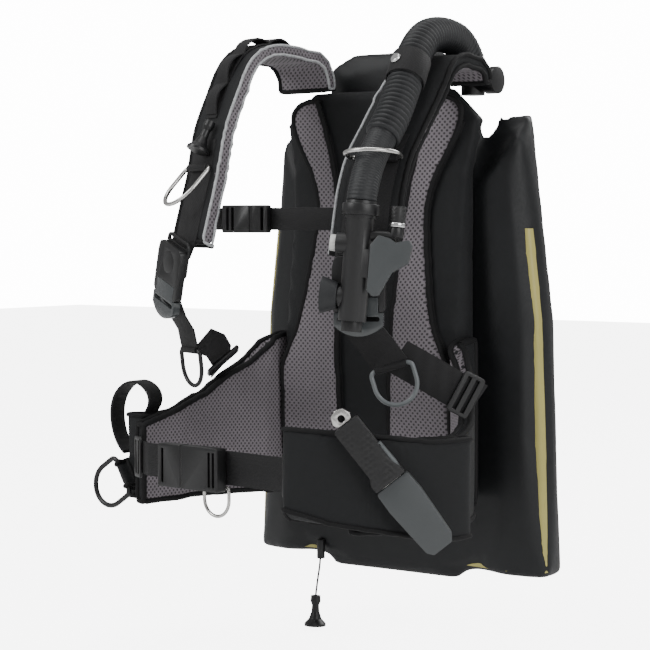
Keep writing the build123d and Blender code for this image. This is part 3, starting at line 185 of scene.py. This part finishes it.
def mottle_group():
    """Slow variation, for colour and roughness, and fine grain for the height."""
    group, start, end = new_group("Mottle", [("Patch", 14.0), ("Grain", 900.0)],
                                  [("Shade", "NodeSocketFloat"), ("Fine", "NodeSocketFloat")])
    place = group.nodes.new("ShaderNodeTexCoord")
    for label, out, detail in (("Patch", "Shade", 4.0), ("Grain", "Fine", 2.0)):
        noise = group.nodes.new("ShaderNodeTexNoise")
        noise.inputs["Detail"].default_value = detail
        group.links.new(place.outputs["Object"], noise.inputs["Vector"])
        group.links.new(start.outputs[label], noise.inputs["Scale"])
        group.links.new(noise.outputs["Fac"], end.inputs[out])
    return group


def diamond_group():
    """Spacer mesh: rows of diamond holes, carried round the sides."""
    group, start, end = new_group("Diamond mesh", [("Holes", 190.0)], [("Hole", "NodeSocketFloat")])
    place = group.nodes.new("ShaderNodeTexCoord")
    split = group.nodes.new("ShaderNodeSeparateXYZ")
    group.links.new(place.outputs["Object"], split.inputs[0])
    around = maths(group, "SUBTRACT", maths(group, "ABSOLUTE", split.outputs[0]), split.outputs[1])
    x = maths(group, "MULTIPLY", around, start.outputs["Holes"])
    z = maths(group, "MULTIPLY", split.outputs[2], start.outputs["Holes"])
    near_x = maths(group, "PINGPONG", maths(group, "ADD", x, z), 0.5)
    near_z = maths(group, "PINGPONG", maths(group, "SUBTRACT", x, z), 0.5)
    group.links.new(maths(group, "GREATER_THAN", maths(group, "MULTIPLY", near_x, near_z), 0.085),
                    end.inputs["Hole"])
    return group


def build_groups():
    """The shader groups that the finishes share."""
    return {"weave": weave_group(), "mottle": mottle_group(), "diamond": diamond_group()}


GROUPS = {}
FINISHES = {}


def finish(name, colour, roughness, spread=0.25, bump=0.15, weave=0.0, metal=0.0, sheen=0.0, grain=900.0,
           holes=0.0, coat=0.0, patch=14.0, gloss=0.5):
    """Procedural finish: mottled colour and roughness, with grain, weave or mesh holes as asked; the weave's
    gaps and the mesh holes get painted shade.
    """
    material = bpy.data.materials.new(name)
    material.use_nodes = True
    tree = material.node_tree
    shader = tree.nodes["Principled BSDF"]
    shader.inputs["Metallic"].default_value = metal
    shader.inputs["Sheen Weight"].default_value = sheen
    shader.inputs["Sheen Roughness"].default_value = 0.4
    shader.inputs["Coat Weight"].default_value = coat
    shader.inputs["Specular IOR Level"].default_value = gloss
    mottle = tree.nodes.new("ShaderNodeGroup")
    mottle.node_tree = GROUPS["mottle"]
    mottle.inputs["Patch"].default_value = patch
    mottle.inputs["Grain"].default_value = grain
    mix = tree.nodes.new("ShaderNodeMix")
    mix.data_type = "RGBA"
    mix.inputs["A"].default_value = (*[c * (1 - spread) for c in colour], 1)
    mix.inputs["B"].default_value = (*[min(1, c * (1 + spread)) for c in colour], 1)
    tree.links.new(mottle.outputs["Shade"], mix.inputs["Factor"])
    result = mix.outputs["Result"]
    height = mottle.outputs["Fine"]
    if weave:
        cloth = tree.nodes.new("ShaderNodeGroup")
        cloth.node_tree = GROUPS["weave"]
        cloth.inputs["Threads"].default_value = weave
        height = maths(tree, "MULTIPLY_ADD", height, 0.35, cloth.outputs["Height"])
        # Painted shade: the colour is darkened in the gaps between the threads.
        result = with_painted_shade(tree, result, cloth.outputs["Gaps"], 0.55)
    if holes:
        net = tree.nodes.new("ShaderNodeGroup")
        net.node_tree = GROUPS["diamond"]
        net.inputs["Holes"].default_value = holes
        height = maths(tree, "SUBTRACT", height, maths(tree, "MULTIPLY", net.outputs["Hole"], 2.0))
        # Painted shade: the colour is darkened in the diamond holes, where shade falls into the mesh.
        result = with_painted_shade(tree, result, net.outputs["Hole"], 0.22)
    tree.links.new(result, shader.inputs["Base Color"])
    rough = maths(tree, "MULTIPLY_ADD", mottle.outputs["Shade"], 0.16, roughness - 0.08)
    tree.links.new(rough, shader.inputs["Roughness"])
    dent = tree.nodes.new("ShaderNodeBump")
    dent.inputs["Strength"].default_value = bump
    dent.inputs["Distance"].default_value = 0.0006
    tree.links.new(height, dent.inputs["Height"])
    tree.links.new(dent.outputs["Normal"], shader.inputs["Normal"])
    return material


def with_painted_shade(tree, colour, mask, keep):
    """Painted shade: the colour, brought down to a share of itself where the mask is one."""
    mix = tree.nodes.new("ShaderNodeMix")
    mix.data_type = "RGBA"
    mix.blend_type = "MULTIPLY"
    tree.links.new(mask, mix.inputs["Factor"])
    tree.links.new(colour, mix.inputs["A"])
    mix.inputs["B"].default_value = (keep, keep, keep, 1)
    return mix.outputs["Result"]


def build_finishes(colours):
    """All finishes of the vest by name."""
    GROUPS.update(build_groups())
    steel, alloy = (0.62, 0.61, 0.59), (0.50, 0.51, 0.53)
    FINISHES.update({
        "nylon": finish("Packcloth nylon", colours.nylon, 0.66, weave=1100, sheen=0.03, bump=0.35,
                        gloss=0.28),
        "wing": finish("Wing nylon", [c * 1.1 for c in colours.nylon], 0.45, weave=1400, sheen=0.02, bump=0.2,
                       gloss=0.34),
        "binding": finish("Binding tape", colours.binding, 0.7, weave=900, bump=0.4, gloss=0.25),
        "webbing": finish("Ribbed webbing", colours.webbing, 0.62, weave=520, sheen=0.03, bump=0.6,
                          gloss=0.3),
        "spacer": finish("Spacer mesh", colours.spacer, 0.8, holes=150, sheen=0.15, bump=0.8),
        "piping": finish("Reflective piping", colours.piping, 0.45, spread=0.6, weave=700, patch=320),
        "plastic": finish("Black acetal", colours.plastic, 0.36, bump=0.08, grain=1400),
        "grey": finish("Grey acetal", colours.grey, 0.34, spread=0.12, bump=0.06, grain=1200, coat=0.15),
        "knurl": finish("Knurled plastic", colours.plastic, 0.42, weave=260, bump=0.9),
        "handle": finish("Handle grip", colours.plastic, 0.5, weave=150, bump=0.9),
        "rubber": finish("Hose rubber", colours.rubber, 0.52, bump=0.2, grain=1600),
        "sheath": finish("Sheath plastic", [c * 0.42 for c in colours.grey], 0.42, spread=0.15,
                         bump=0.1),
        "tip": finish("Buckle tip", [c * 0.45 for c in colours.grey], 0.22, spread=0.1, bump=0.04, coat=0.3),
        "steel": finish("Brushed steel", steel, 0.26, spread=0.12, bump=0.1, metal=1.0, grain=2200),
        "chrome": finish("Chrome", (0.8, 0.8, 0.8), 0.12, spread=0.05, bump=0.03, metal=1.0),
        "alloy": finish("Anodised plate", alloy, 0.4, spread=0.1, bump=0.08, metal=1.0),
        "white": finish("Pale button", (0.6, 0.6, 0.58), 0.3, spread=0.08, bump=0.04),
        "film": finish("Bladder film", (0.45, 0.4, 0.12), 0.35, spread=0.1, bump=0.1),
    })


FINISH_OF_SLOT = {"nylon": "nylon", "webbing": "webbing", "mesh": "spacer", "black_plastic": "plastic",
                  "grey_plastic": "grey", "rubber": "rubber", "stainless": "steel", "chrome": "chrome",
                  "plate_alloy": "alloy", "button_white": "white", "bladder_film": "film"}


# ---- handling pieces ---------------------------------------------------------------

TAPE_STEP = 0.012            # tape between two points on the surface is no longer than this


def only(piece):
    """Select one object alone and make it the active one."""
    bpy.ops.object.select_all(action="DESELECT")
    piece.select_set(True)
    bpy.context.view_layer.objects.active = piece


def linked(name, mesh):
    """New object in the scene with this mesh."""
    piece = bpy.data.objects.new(name, mesh)
    bpy.context.scene.collection.objects.link(piece)
    only(piece)
    return piece


def outer_skins(work, count):
    """Keep the largest closed skins of a mesh, so that a hollow form becomes a filled one."""
    left, skins = set(work.verts), []
    while left:
        skin, front = set(), [left.pop()]
        while front:
            vertex = front.pop()
            skin.add(vertex)
            near = {edge.other_vert(vertex) for edge in vertex.link_edges} & left
            left -= near
            front.extend(near)
        skins.append(skin)

    def spread(skin):
        xs, ys, zs = zip(*[vertex.co for vertex in skin])
        return (max(xs) - min(xs)) * (max(ys) - min(ys)) * (max(zs) - min(zs))

    skins.sort(key=spread, reverse=True)
    inner = [vertex for skin in skins[count:] for vertex in skin]
    bmesh.ops.delete(work, geom=inner, context="VERTS")


def node_copy(name, node, angle=1.0):
    """Merged copy of a node's mesh, its flat triangles joined into faces."""
    piece = linked(name, NODES[node].data.copy())
    bpy.ops.object.mode_set(mode="EDIT")
    bpy.ops.mesh.select_all(action="SELECT")
    bpy.ops.mesh.remove_doubles(threshold=0.00002)
    bpy.ops.mesh.dissolve_limited(angle_limit=radians(angle))
    bpy.ops.object.mode_set(mode="OBJECT")
    return piece


def apply_modifier(piece, kind, **settings):
    """Add a modifier with settings and apply it."""
    only(piece)
    modifier = piece.modifiers.new(kind.title(), kind)
    for key, value in settings.items():
        setattr(modifier, key, value)
    bpy.ops.object.modifier_apply(modifier=modifier.name)


def dress(piece, finish_name):
    """Give a piece one finish all over."""
    piece.data.materials.clear()
    piece.data.materials.append(FINISHES[finish_name])


def stand_for(piece, node, finish_name=None, hide=True):
    """Let a piece ride with a node's body and take its finish, and stand for the node."""
    dress(piece, finish_name or FINISH_OF_SLOT[SLOT_OF[node]])
    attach(piece, BODY_OF[node])
    if hide:
        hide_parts(node)


def eased(node, radius, finish_name=None, segments=2):
    """Moulded or machined piece: the node's form with its edges rounded."""
    piece = node_copy(f"{node}_eased", node)
    apply_modifier(piece, "BEVEL", width=radius, segments=segments, limit_method="ANGLE",
                   angle_limit=radians(35), use_clamp_overlap=True)
    only(piece)
    bpy.ops.object.shade_smooth_by_angle(angle=radians(38))
    stand_for(piece, node, finish_name)
    return piece


SWELL_PRESSURE = 3.0
SWELL_STIFFNESS = 25.0
SWELL_FRAMES = 12            # how long the cloth is blown up before it is frozen


def swell(piece, cap):
    """Blow the piece up a little as cloth, moving no point further than the cap."""
    if cap <= 0:
        return
    only(piece)
    before = [v.co.copy() for v in piece.data.vertices]
    cloth = piece.modifiers.new("Cloth", "CLOTH")
    cloth.settings.quality = 4
    cloth.settings.use_pressure = True
    cloth.settings.uniform_pressure_force = SWELL_PRESSURE
    cloth.settings.effector_weights.gravity = 0.0
    cloth.settings.tension_stiffness = SWELL_STIFFNESS
    cloth.settings.compression_stiffness = SWELL_STIFFNESS
    for step in range(1, SWELL_FRAMES + 1):
        bpy.context.scene.frame_set(step)
    bpy.ops.object.modifier_apply(modifier=cloth.name)
    bpy.context.scene.frame_set(1)
    for vertex, old in zip(piece.data.vertices, before):
        move = vertex.co - old
        if move.length > cap:
            vertex.co = old + move.normalized() * cap


def voxel_mesh(piece, pitch):
    """Even mesh over a closed form."""
    apply_modifier(piece, "REMESH", mode="VOXEL", voxel_size=pitch)


def padded_piece(node, sizes, cap, finish_name=None, voxel=None, smooth=6, inset=0.0012,
                 skins=0, close=0.0):
    """Soft piece made from a node's closed form: remeshed, softened and swollen.

    With skins, only that many outer skins stay; with close, slots up to twice as wide are filled.
    """
    pitch = voxel or sizes.voxel
    piece = node_copy(f"{node}_padded", node)
    if skins:
        work = bmesh.new()
        work.from_mesh(piece.data)
        outer_skins(work, skins)
        work.to_mesh(piece.data)
        work.free()
    voxel_mesh(piece, pitch)
    if close:
        apply_modifier(piece, "DISPLACE", strength=close, mid_level=0.0)
        voxel_mesh(piece, pitch)
        apply_modifier(piece, "SMOOTH", factor=0.5, iterations=3)
        apply_modifier(piece, "DISPLACE", strength=-close, mid_level=0.0)
        voxel_mesh(piece, pitch)
    apply_modifier(piece, "DISPLACE", strength=-inset, mid_level=0.0)
    apply_modifier(piece, "SMOOTH", factor=0.6, iterations=smooth)
    swell(piece, cap)
    only(piece)
    apply_modifier(piece, "SMOOTH", factor=0.5, iterations=2)
    bpy.ops.object.shade_smooth()
    stand_for(piece, node, finish_name)
    return piece


def edge_tape(name, node, radius, finish_name, over=None, keep=None, sharp=48.0):
    """Round tape along a node's sharp edges, or along those that a test keeps.

    Where a padded piece is given, the tape is laid down onto its surface.
    """
    source = node_copy(f"{name}_source", node, angle=3.0)
    work = bmesh.new()
    work.from_mesh(source.data)
    plain = [edge for edge in work.edges
             if len(edge.link_faces) != 2 or edge.calc_face_angle(0) < radians(sharp)
             or (keep and not keep(edge))]
    bmesh.ops.delete(work, geom=plain, context="EDGES")
    bmesh.ops.delete(work, geom=work.faces[:], context="FACES_ONLY")
    loose = [vertex for vertex in work.verts if not vertex.link_edges]
    bmesh.ops.delete(work, geom=loose, context="VERTS")
    for _ in range(3):
        long_edges = [edge for edge in work.edges if edge.calc_length() > TAPE_STEP]
        bmesh.ops.subdivide_edges(work, edges=long_edges, cuts=2)
    work.to_mesh(source.data)
    work.free()
    if not source.data.edges:
        raise RuntimeError(f"no edges to bind on {node}")
    source.name = name
    if over:
        apply_modifier(source, "SHRINKWRAP", target=over, wrap_method="NEAREST_SURFACEPOINT",
                       offset=radius * 0.2)
    only(source)
    bpy.ops.object.convert(target="CURVE")
    source = bpy.context.active_object
    source.data.bevel_depth = radius
    source.data.bevel_resolution = 2
    source.data.use_fill_caps = True
    bpy.ops.object.convert(target="MESH")
    tape = bpy.context.active_object
    bpy.ops.object.shade_smooth()
    stand_for(tape, node, finish_name, hide=False)
    return tape


def edge_middle(edge):
    """Middle of an edge."""
    return (edge.verts[0].co + edge.verts[1].co) / 2


# ---- the padded and sewn pieces ----------------------------------------------------


SLOT_CLOSING = 0.012         # slots up to twice this wide are closed by the air in the wing


class VEST_OT_wing(bpy.types.Operator):
    """Air wing behind the wearer"""

    bl_idname = "vest.wing"
    bl_label = "Air Wing"

    def execute(self, context):
        sizes = context.scene.vest_sizes
        padded_piece("wing_shell", sizes, sizes.puff, "wing", voxel=0.005, smooth=4, skins=1,
                     close=SLOT_CLOSING)
        return {"FINISHED"}


def face_with(piece, finish_name, test):
    """Give the faces that pass a test, by middle and normal, a second finish."""
    place = len(piece.data.materials)
    piece.data.materials.append(FINISHES[finish_name])
    for face in piece.data.polygons:
        if test(face.center, face.normal):
            face.material_index = place


def shortest_island(piece):
    """Indices of the vertices of the mesh island that spans the least."""
    work = bmesh.new()
    work.from_mesh(piece.data)
    left, islands = set(work.verts), []
    while left:
        island, front = {}, [left.pop()]
        while front:
            vertex = front.pop()
            island[vertex.index] = vertex.co.copy()
            near = {edge.other_vert(vertex) for edge in vertex.link_edges} & left
            left -= near
            front.extend(near)
        islands.append(island)
    work.free()

    def reach(island):
        start = next(iter(island.values()))
        return max((place - start).length for place in island.values())

    return min(islands, key=reach)


class VEST_OT_back_pad(bpy.types.Operator):
    """Back pad with its two breathable panels"""

    bl_idname = "vest.back_pad"
    bl_label = "Back Pad"

    def execute(self, context):
        sizes = context.scene.vest_sizes
        padded_piece("back_pad", sizes, sizes.puff, smooth=6)
        panels = padded_piece("mesh_panels", sizes, sizes.puff / 2, smooth=4, voxel=0.0035, inset=0.0003)
        edge_tape("panel_binding", "mesh_panels", sizes.binding_radius * 1.5, "binding", over=panels,
                  keep=lambda edge: edge_middle(edge).y < -0.150)
        edge_tape("panel_piping", "mesh_panels", sizes.piping_radius, "piping", over=panels,
                  keep=lambda edge: edge_middle(edge).y < -0.150 and abs(edge_middle(edge).x) < 0.060
                  and edge_middle(edge).z < 0.15)
        return {"FINISHED"}


class VEST_OT_lumbar_lobes(bpy.types.Operator):
    """Padded waist lobes with mesh on the side that meets the wearer"""

    bl_idname = "vest.lumbar_lobes"
    bl_label = "Waist Lobes"

    def execute(self, context):
        sizes = context.scene.vest_sizes
        lobes = padded_piece("lumbar_lobes", sizes, sizes.puff / 2, smooth=4, inset=0.0005)
        waist = Vector((0.0, -0.288, 0.0))

        def meets_wearer(middle, normal):
            inward = Vector((waist.x - middle.x, waist.y - middle.y, 0)).normalized()
            return normal.dot(inward) > 0.35 and middle.y > -0.345

        face_with(lobes, "spacer", meets_wearer)
        edge_tape("lobe_binding", "lumbar_lobes", sizes.binding_radius * 1.6, "binding", over=lobes)
        return {"FINISHED"}


class VEST_OT_straps(bpy.types.Operator):
    """Padded shoulder straps, mesh below, with bound edges and pale piping"""

    bl_idname = "vest.straps"
    bl_label = "Shoulder Straps"

    def execute(self, context):
        sizes = context.scene.vest_sizes
        straps = padded_piece("shoulder_straps", sizes, sizes.puff / 2, smooth=3, voxel=0.0035,
                              inset=0.0003)

        def under_side(middle, normal):
            arch = Vector((middle.x, -0.21, 0.10))
            inner_edge = normal.x * (1 if middle.x > 0 else -1) < -0.45
            return inner_edge or normal.dot((arch - middle).normalized()) > 0.45

        face_with(straps, "spacer", under_side)
        edge_tape("strap_binding", "shoulder_straps", sizes.binding_radius * 1.4, "binding", over=straps,
                  keep=lambda edge: abs(edge_middle(edge).x) > 0.100)
        edge_tape("strap_piping", "shoulder_straps", sizes.piping_radius * 1.3, "piping", over=straps,
                  keep=lambda edge: abs(edge_middle(edge).x) <= 0.100)
        return {"FINISHED"}


class VEST_OT_pockets(bpy.types.Operator):
    """Pockets on the waist lobes"""

    bl_idname = "vest.pockets"
    bl_label = "Pockets"

    def execute(self, context):
        sizes = context.scene.vest_sizes
        for node in ("pocket_left", "pocket_right"):
            bag = padded_piece(node, sizes, sizes.puff / 2, smooth=3, voxel=0.0035, inset=0.0005)
            edge_tape(f"{node}_binding", node, sizes.binding_radius * 1.3, "binding", over=bag)
        return {"FINISHED"}


WEBBING_NODES = ("tank_band", "carry_handle", "strap_webbings", "daisy_chain", "shoulder_webbings",
                 "side_webbings", "chest_webbings", "belt_webbings", "loop_handle", "hose_keeper")


KEEPER_THICKNESS = 0.0036    # hose surface to the outside of the keeper band


class VEST_OT_webbing(bpy.types.Operator):
    """Woven straps and loops"""

    bl_idname = "vest.webbing"
    bl_label = "Webbing"

    def execute(self, context):
        sizes = context.scene.vest_sizes
        for node in WEBBING_NODES:
            piece = eased(node, sizes.edge_radius)
            if node == "hose_keeper":
                line = spline_points("keeper_line", HOSE_ROUTE)
                band = HOSE_RADIUS + KEEPER_THICKNESS
                face_with(piece, "chrome",
                          lambda middle, normal: min((middle - p).length for p in line) > band)
        return {"FINISHED"}


# ---- hose, cord and hardware -------------------------------------------------------

CUFF_RADIUS = 0.0163         # outside of the smooth cuff
CUFF_GROOVE = 0.0006
CORD_RADIUS = 0.0012


def spline_points(name, route, resolution=24):
    """Points along the smooth line that a route's points control."""
    data = bpy.data.curves.new(name, "CURVE")
    data.dimensions = "3D"
    data.resolution_u = resolution
    spline = data.splines.new("NURBS")
    spline.points.add(len(route) - 1)
    for point, place in zip(spline.points, route):
        point.co = (*place, 1)
    spline.order_u = 3
    spline.use_endpoint_u = True
    holder = bpy.data.objects.new(name, data)
    mesh = bpy.data.meshes.new_from_object(holder)
    points = [v.co.copy() for v in mesh.vertices]
    bpy.data.meshes.remove(mesh)
    bpy.data.objects.remove(holder)
    return points


def even_points(points, step):
    """The same line with its points a fixed step apart."""
    lengths = [0.0]
    for a, b in zip(points, points[1:]):
        lengths.append(lengths[-1] + (b - a).length)
    count = max(2, round(lengths[-1] / step))
    spaced, at = [], 0
    for i in range(count + 1):
        goal = lengths[-1] * i / count
        while at < len(lengths) - 2 and lengths[at + 1] < goal:
            at += 1
        share = (goal - lengths[at]) / max(1e-9, lengths[at + 1] - lengths[at])
        spaced.append(points[at].lerp(points[at + 1], share))
    return spaced


def tube_mesh(name, points, radius_at, sides=32):
    """Closed tube along points, with a radius for each."""
    work = bmesh.new()
    along = (points[1] - points[0]).normalized()
    across = along.orthogonal().normalized()
    rings = []
    for i, point in enumerate(points):
        ahead = points[min(i + 1, len(points) - 1)] - points[max(i - 1, 0)]
        turn = along.rotation_difference(ahead.normalized())
        along = ahead.normalized()
        across = (turn @ across).normalized()
        up = along.cross(across)
        radius = radius_at(i)
        rings.append([work.verts.new(point + (across * cos(2 * pi * k / sides)
                                              + up * sin(2 * pi * k / sides)) * radius)
                      for k in range(sides)])
    for low, high in zip(rings, rings[1:]):
        for k in range(sides):
            work.faces.new((low[k], low[(k + 1) % sides], high[(k + 1) % sides], high[k]))
    work.faces.new(rings[0][::-1])
    work.faces.new(rings[-1])
    bmesh.ops.recalc_face_normals(work, faces=work.faces[:])
    mesh = bpy.data.meshes.new(name)
    work.to_mesh(mesh)
    work.free()
    return linked(name, mesh)


class VEST_OT_hose(bpy.types.Operator):
    """Ribbed hose over the shoulder and its smooth cuff"""

    bl_idname = "vest.hose"
    bl_label = "Hose"

    def execute(self, context):
        sizes = context.scene.vest_sizes
        steps_per_rib = 8
        points = even_points(spline_points("hose_line", HOSE_ROUTE), sizes.rib_pitch / steps_per_rib)
        join = Vector(HOSE_ROUTE[HOSE_JOIN])
        cut = min(range(len(points)), key=lambda i: (points[i] - join).length)
        ribbed = points[cut:]
        def rib_radius(i):
            wave = 0.5 - 0.5 * cos(2 * pi * i / steps_per_rib)
            return HOSE_RADIUS - sizes.rib_depth * (1 - wave ** 0.6)

        hose = tube_mesh("hose_ribbed", ribbed, rib_radius)
        bpy.ops.object.shade_smooth()
        stand_for(hose, "corrugated_hose")

        def cuff_radius(i):
            wave = 0.5 - 0.5 * cos(2 * pi * i / 4)
            return CUFF_RADIUS - CUFF_GROOVE * (1 - wave)

        cuff = tube_mesh("hose_cuff_ribbed", points[:cut + 1], cuff_radius)
        bpy.ops.object.shade_smooth()
        stand_for(cuff, "hose_cuff")
        return {"FINISHED"}


class VEST_OT_dump_cord(bpy.types.Operator):
    """Cord of the lower dump valve"""

    bl_idname = "vest.dump_cord"
    bl_label = "Dump Cord"

    def execute(self, context):
        data = bpy.data.curves.new("dump_pull_cord", "CURVE")
        data.dimensions = "3D"
        data.bevel_depth = CORD_RADIUS
        data.bevel_resolution = 4
        data.use_fill_caps = True
        spline = data.splines.new("NURBS")
        spline.points.add(len(CORD_ROUTE) - 1)
        for point, place in zip(spline.points, CORD_ROUTE):
            point.co = (*place, 1)
        spline.order_u = 3
        spline.use_endpoint_u = True
        spline.resolution_u = 16
        cord = bpy.data.objects.new("dump_pull_cord", data)
        context.scene.collection.objects.link(cord)
        data.materials.append(FINISHES["webbing"])
        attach(cord, BODY_OF["dump_cord"])
        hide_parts("dump_cord")
        return {"FINISHED"}


SMALL_HARDWARE = ("cam_buckle_frame", "cam_buckle_lever", "swivel_plates", "swivel_buckle_left",
                  "swivel_buckle_right", "shoulder_buckle_male_left", "shoulder_buckle_male_right",
                  "chest_buckle_female", "chest_buckle_male", "waist_buckle_female", "waist_buckle_male",
                  "triglides", "ladder_locks", "inflator_body", "hose_elbow", "hose_collar", "mouthpiece",
                  "inflate_button", "deflate_button", "inlet_coupling", "grip_plate", "knife_sheath",
                  "knife_blade", "knife_handle", "knife_lock_lever", "tank_saddle", "backplate",
                  "dump_valve", "dump_cord_guide")


SPECIAL_FINISH = {"knife_sheath": "sheath", "grip_plate": "sheath", "shoulder_buckle_male_left": "tip",
                  "shoulder_buckle_male_right": "tip", "knife_handle": "handle", "inlet_coupling": "knurl"}


class VEST_OT_hardware(bpy.types.Operator):
    """Buckles, inflator, knife and plate with rounded edges"""

    bl_idname = "vest.hardware"
    bl_label = "Hardware"

    def execute(self, context):
        sizes = context.scene.vest_sizes
        for node in SMALL_HARDWARE:
            piece = eased(node, sizes.edge_radius, SPECIAL_FINISH.get(node))
            if node == "inlet_coupling":
                ring = shortest_island(piece)
                piece.data.materials.append(FINISHES["chrome"])
                for face in piece.data.polygons:
                    face.material_index = int(face.vertices[0] in ring)
        return {"FINISHED"}


class VEST_OT_finishes(bpy.types.Operator):
    """Shader groups and finishes, and the finish of every node that keeps its own form"""

    bl_idname = "vest.finishes"
    bl_label = "Finishes"

    def execute(self, context):
        build_finishes(context.scene.vest_colours)
        for node, piece in NODES.items():
            for slot in piece.material_slots:
                slot.material = FINISHES[FINISH_OF_SLOT[SLOT_OF[node]]]
        return {"FINISHED"}


# ---- stage -------------------------------------------------------------------------

# Floor and backdrop are brighter where they are seen than where they light the vest.
FLOOR_GLOW = 6.0
BACKDROP_GLOW = 14.0
SKY_LIGHT = 0.42
LAMP_AIM = (-0.05, -0.19, -0.03)
# Name, place, size and power.
LAMPS = (("key", (-1.3, -2.2, 1.7), 1.4, 40), ("side", (2.3, -1.0, 0.9), 1.6, 28),
         ("back", (0.6, 1.9, 1.6), 1.4, 26), ("top", (0.0, -0.4, 2.2), 1.2, 17))
CAMERA_AZIMUTH, CAMERA_ELEVATION = 35, 3
CAMERA_DISTANCE = 2.3
CAMERA_TARGET = (-0.052, -0.1865, -0.030)
CAMERA_FIELD = 19.3          # degrees across
SENSOR_WIDTH = 36


def area_light(name, place, aim, size, power):
    """Soft square light that looks at a point."""
    data = bpy.data.lights.new(name, "AREA")
    data.size = size
    data.energy = power
    lamp = bpy.data.objects.new(name, data)
    lamp.location = place
    lamp.rotation_euler = (Vector(aim) - Vector(place)).to_track_quat("-Z", "Y").to_euler()
    bpy.context.scene.collection.objects.link(lamp)


class VEST_OT_stage(bpy.types.Operator):
    """Pale floor, soft lights and the camera"""

    bl_idname = "vest.stage"
    bl_label = "Stage"

    def execute(self, context):
        low, high = CAD_BOX
        bpy.ops.object.select_all(action="DESELECT")
        bpy.ops.mesh.primitive_plane_add(size=14, location=(0, 0, low[2] - 0.004))
        floor = context.active_object
        floor.name = "studio_floor"
        paper = bpy.data.materials.new("Pale floor")
        paper.use_nodes = True
        paper.node_tree.nodes["Principled BSDF"].inputs["Base Color"].default_value = (0.97, 0.97, 0.97, 1)
        paper.node_tree.nodes["Principled BSDF"].inputs["Roughness"].default_value = 0.8
        glow = paper.node_tree.nodes["Principled BSDF"].inputs
        glow["Emission Color"].default_value = (1, 1, 1, 1)
        direct = paper.node_tree.nodes.new("ShaderNodeLightPath")
        strength = maths(paper.node_tree, "MULTIPLY", direct.outputs["Is Camera Ray"], FLOOR_GLOW)
        paper.node_tree.links.new(strength, glow["Emission Strength"])
        floor.data.materials.append(paper)

        world = bpy.data.worlds.new("Studio")
        world.use_nodes = True
        sky = world.node_tree.nodes["Background"]
        sky.inputs["Color"].default_value = (1, 1, 1, 1)
        seen = world.node_tree.nodes.new("ShaderNodeLightPath")
        strength = maths(world.node_tree, "MULTIPLY_ADD", seen.outputs["Is Camera Ray"],
                         BACKDROP_GLOW, SKY_LIGHT)
        world.node_tree.links.new(strength, sky.inputs["Strength"])
        context.scene.world = world
        for name, place, size, power in LAMPS:
            area_light(name, place, LAMP_AIM, size, power)

        azimuth, elevation = radians(CAMERA_AZIMUTH), radians(CAMERA_ELEVATION)
        back = Vector((sin(azimuth) * cos(elevation), -cos(azimuth) * cos(elevation), sin(elevation)))
        target = Vector(CAMERA_TARGET)
        data = bpy.data.cameras.new("camera")
        data.sensor_width = SENSOR_WIDTH
        data.lens = SENSOR_WIDTH / 2 / tan(radians(CAMERA_FIELD / 2))
        camera = bpy.data.objects.new("camera", data)
        camera.location = target + back * CAMERA_DISTANCE
        camera.rotation_euler = (-back).to_track_quat("-Z", "Y").to_euler()
        context.scene.collection.objects.link(camera)
        context.scene.camera = camera
        return {"FINISHED"}


class VEST_PT_panel(bpy.types.Panel):
    """Lists the steps that make the vest"""

    bl_idname = "VEST_PT_panel"
    bl_label = "Buoyancy Vest"
    bl_space_type = "VIEW_3D"
    bl_region_type = "UI"
    bl_category = "Vest"

    def draw(self, context):
        for operator in STEPS:
            self.layout.operator(operator.bl_idname)
        for group in (context.scene.vest_sizes, context.scene.vest_colours):
            for key in group.__annotations__:
                self.layout.prop(group, key)


STEPS = (VEST_OT_finishes, VEST_OT_stage, VEST_OT_dump_cord, VEST_OT_hose, VEST_OT_wing, VEST_OT_back_pad,
         VEST_OT_lumbar_lobes, VEST_OT_straps, VEST_OT_pockets, VEST_OT_webbing, VEST_OT_hardware)
CLASSES = (VestColours, VestSizes, *STEPS, VEST_PT_panel)


def register():
    """Register the classes and hang the settings on the scene."""
    for part in CLASSES:
        bpy.utils.register_class(part)
    bpy.types.Scene.vest_colours = bpy.props.PointerProperty(type=VestColours)
    bpy.types.Scene.vest_sizes = bpy.props.PointerProperty(type=VestSizes)


def unregister():
    """Take the classes and settings away again."""
    del bpy.types.Scene.vest_sizes
    del bpy.types.Scene.vest_colours
    for part in reversed(CLASSES):
        bpy.utils.unregister_class(part)


def main():
    """Make the whole vest."""
    register()
    for operator in STEPS:
        group, step = operator.bl_idname.split(".")
        getattr(getattr(bpy.ops, group), step)()


if __name__ == "__main__":
    main()
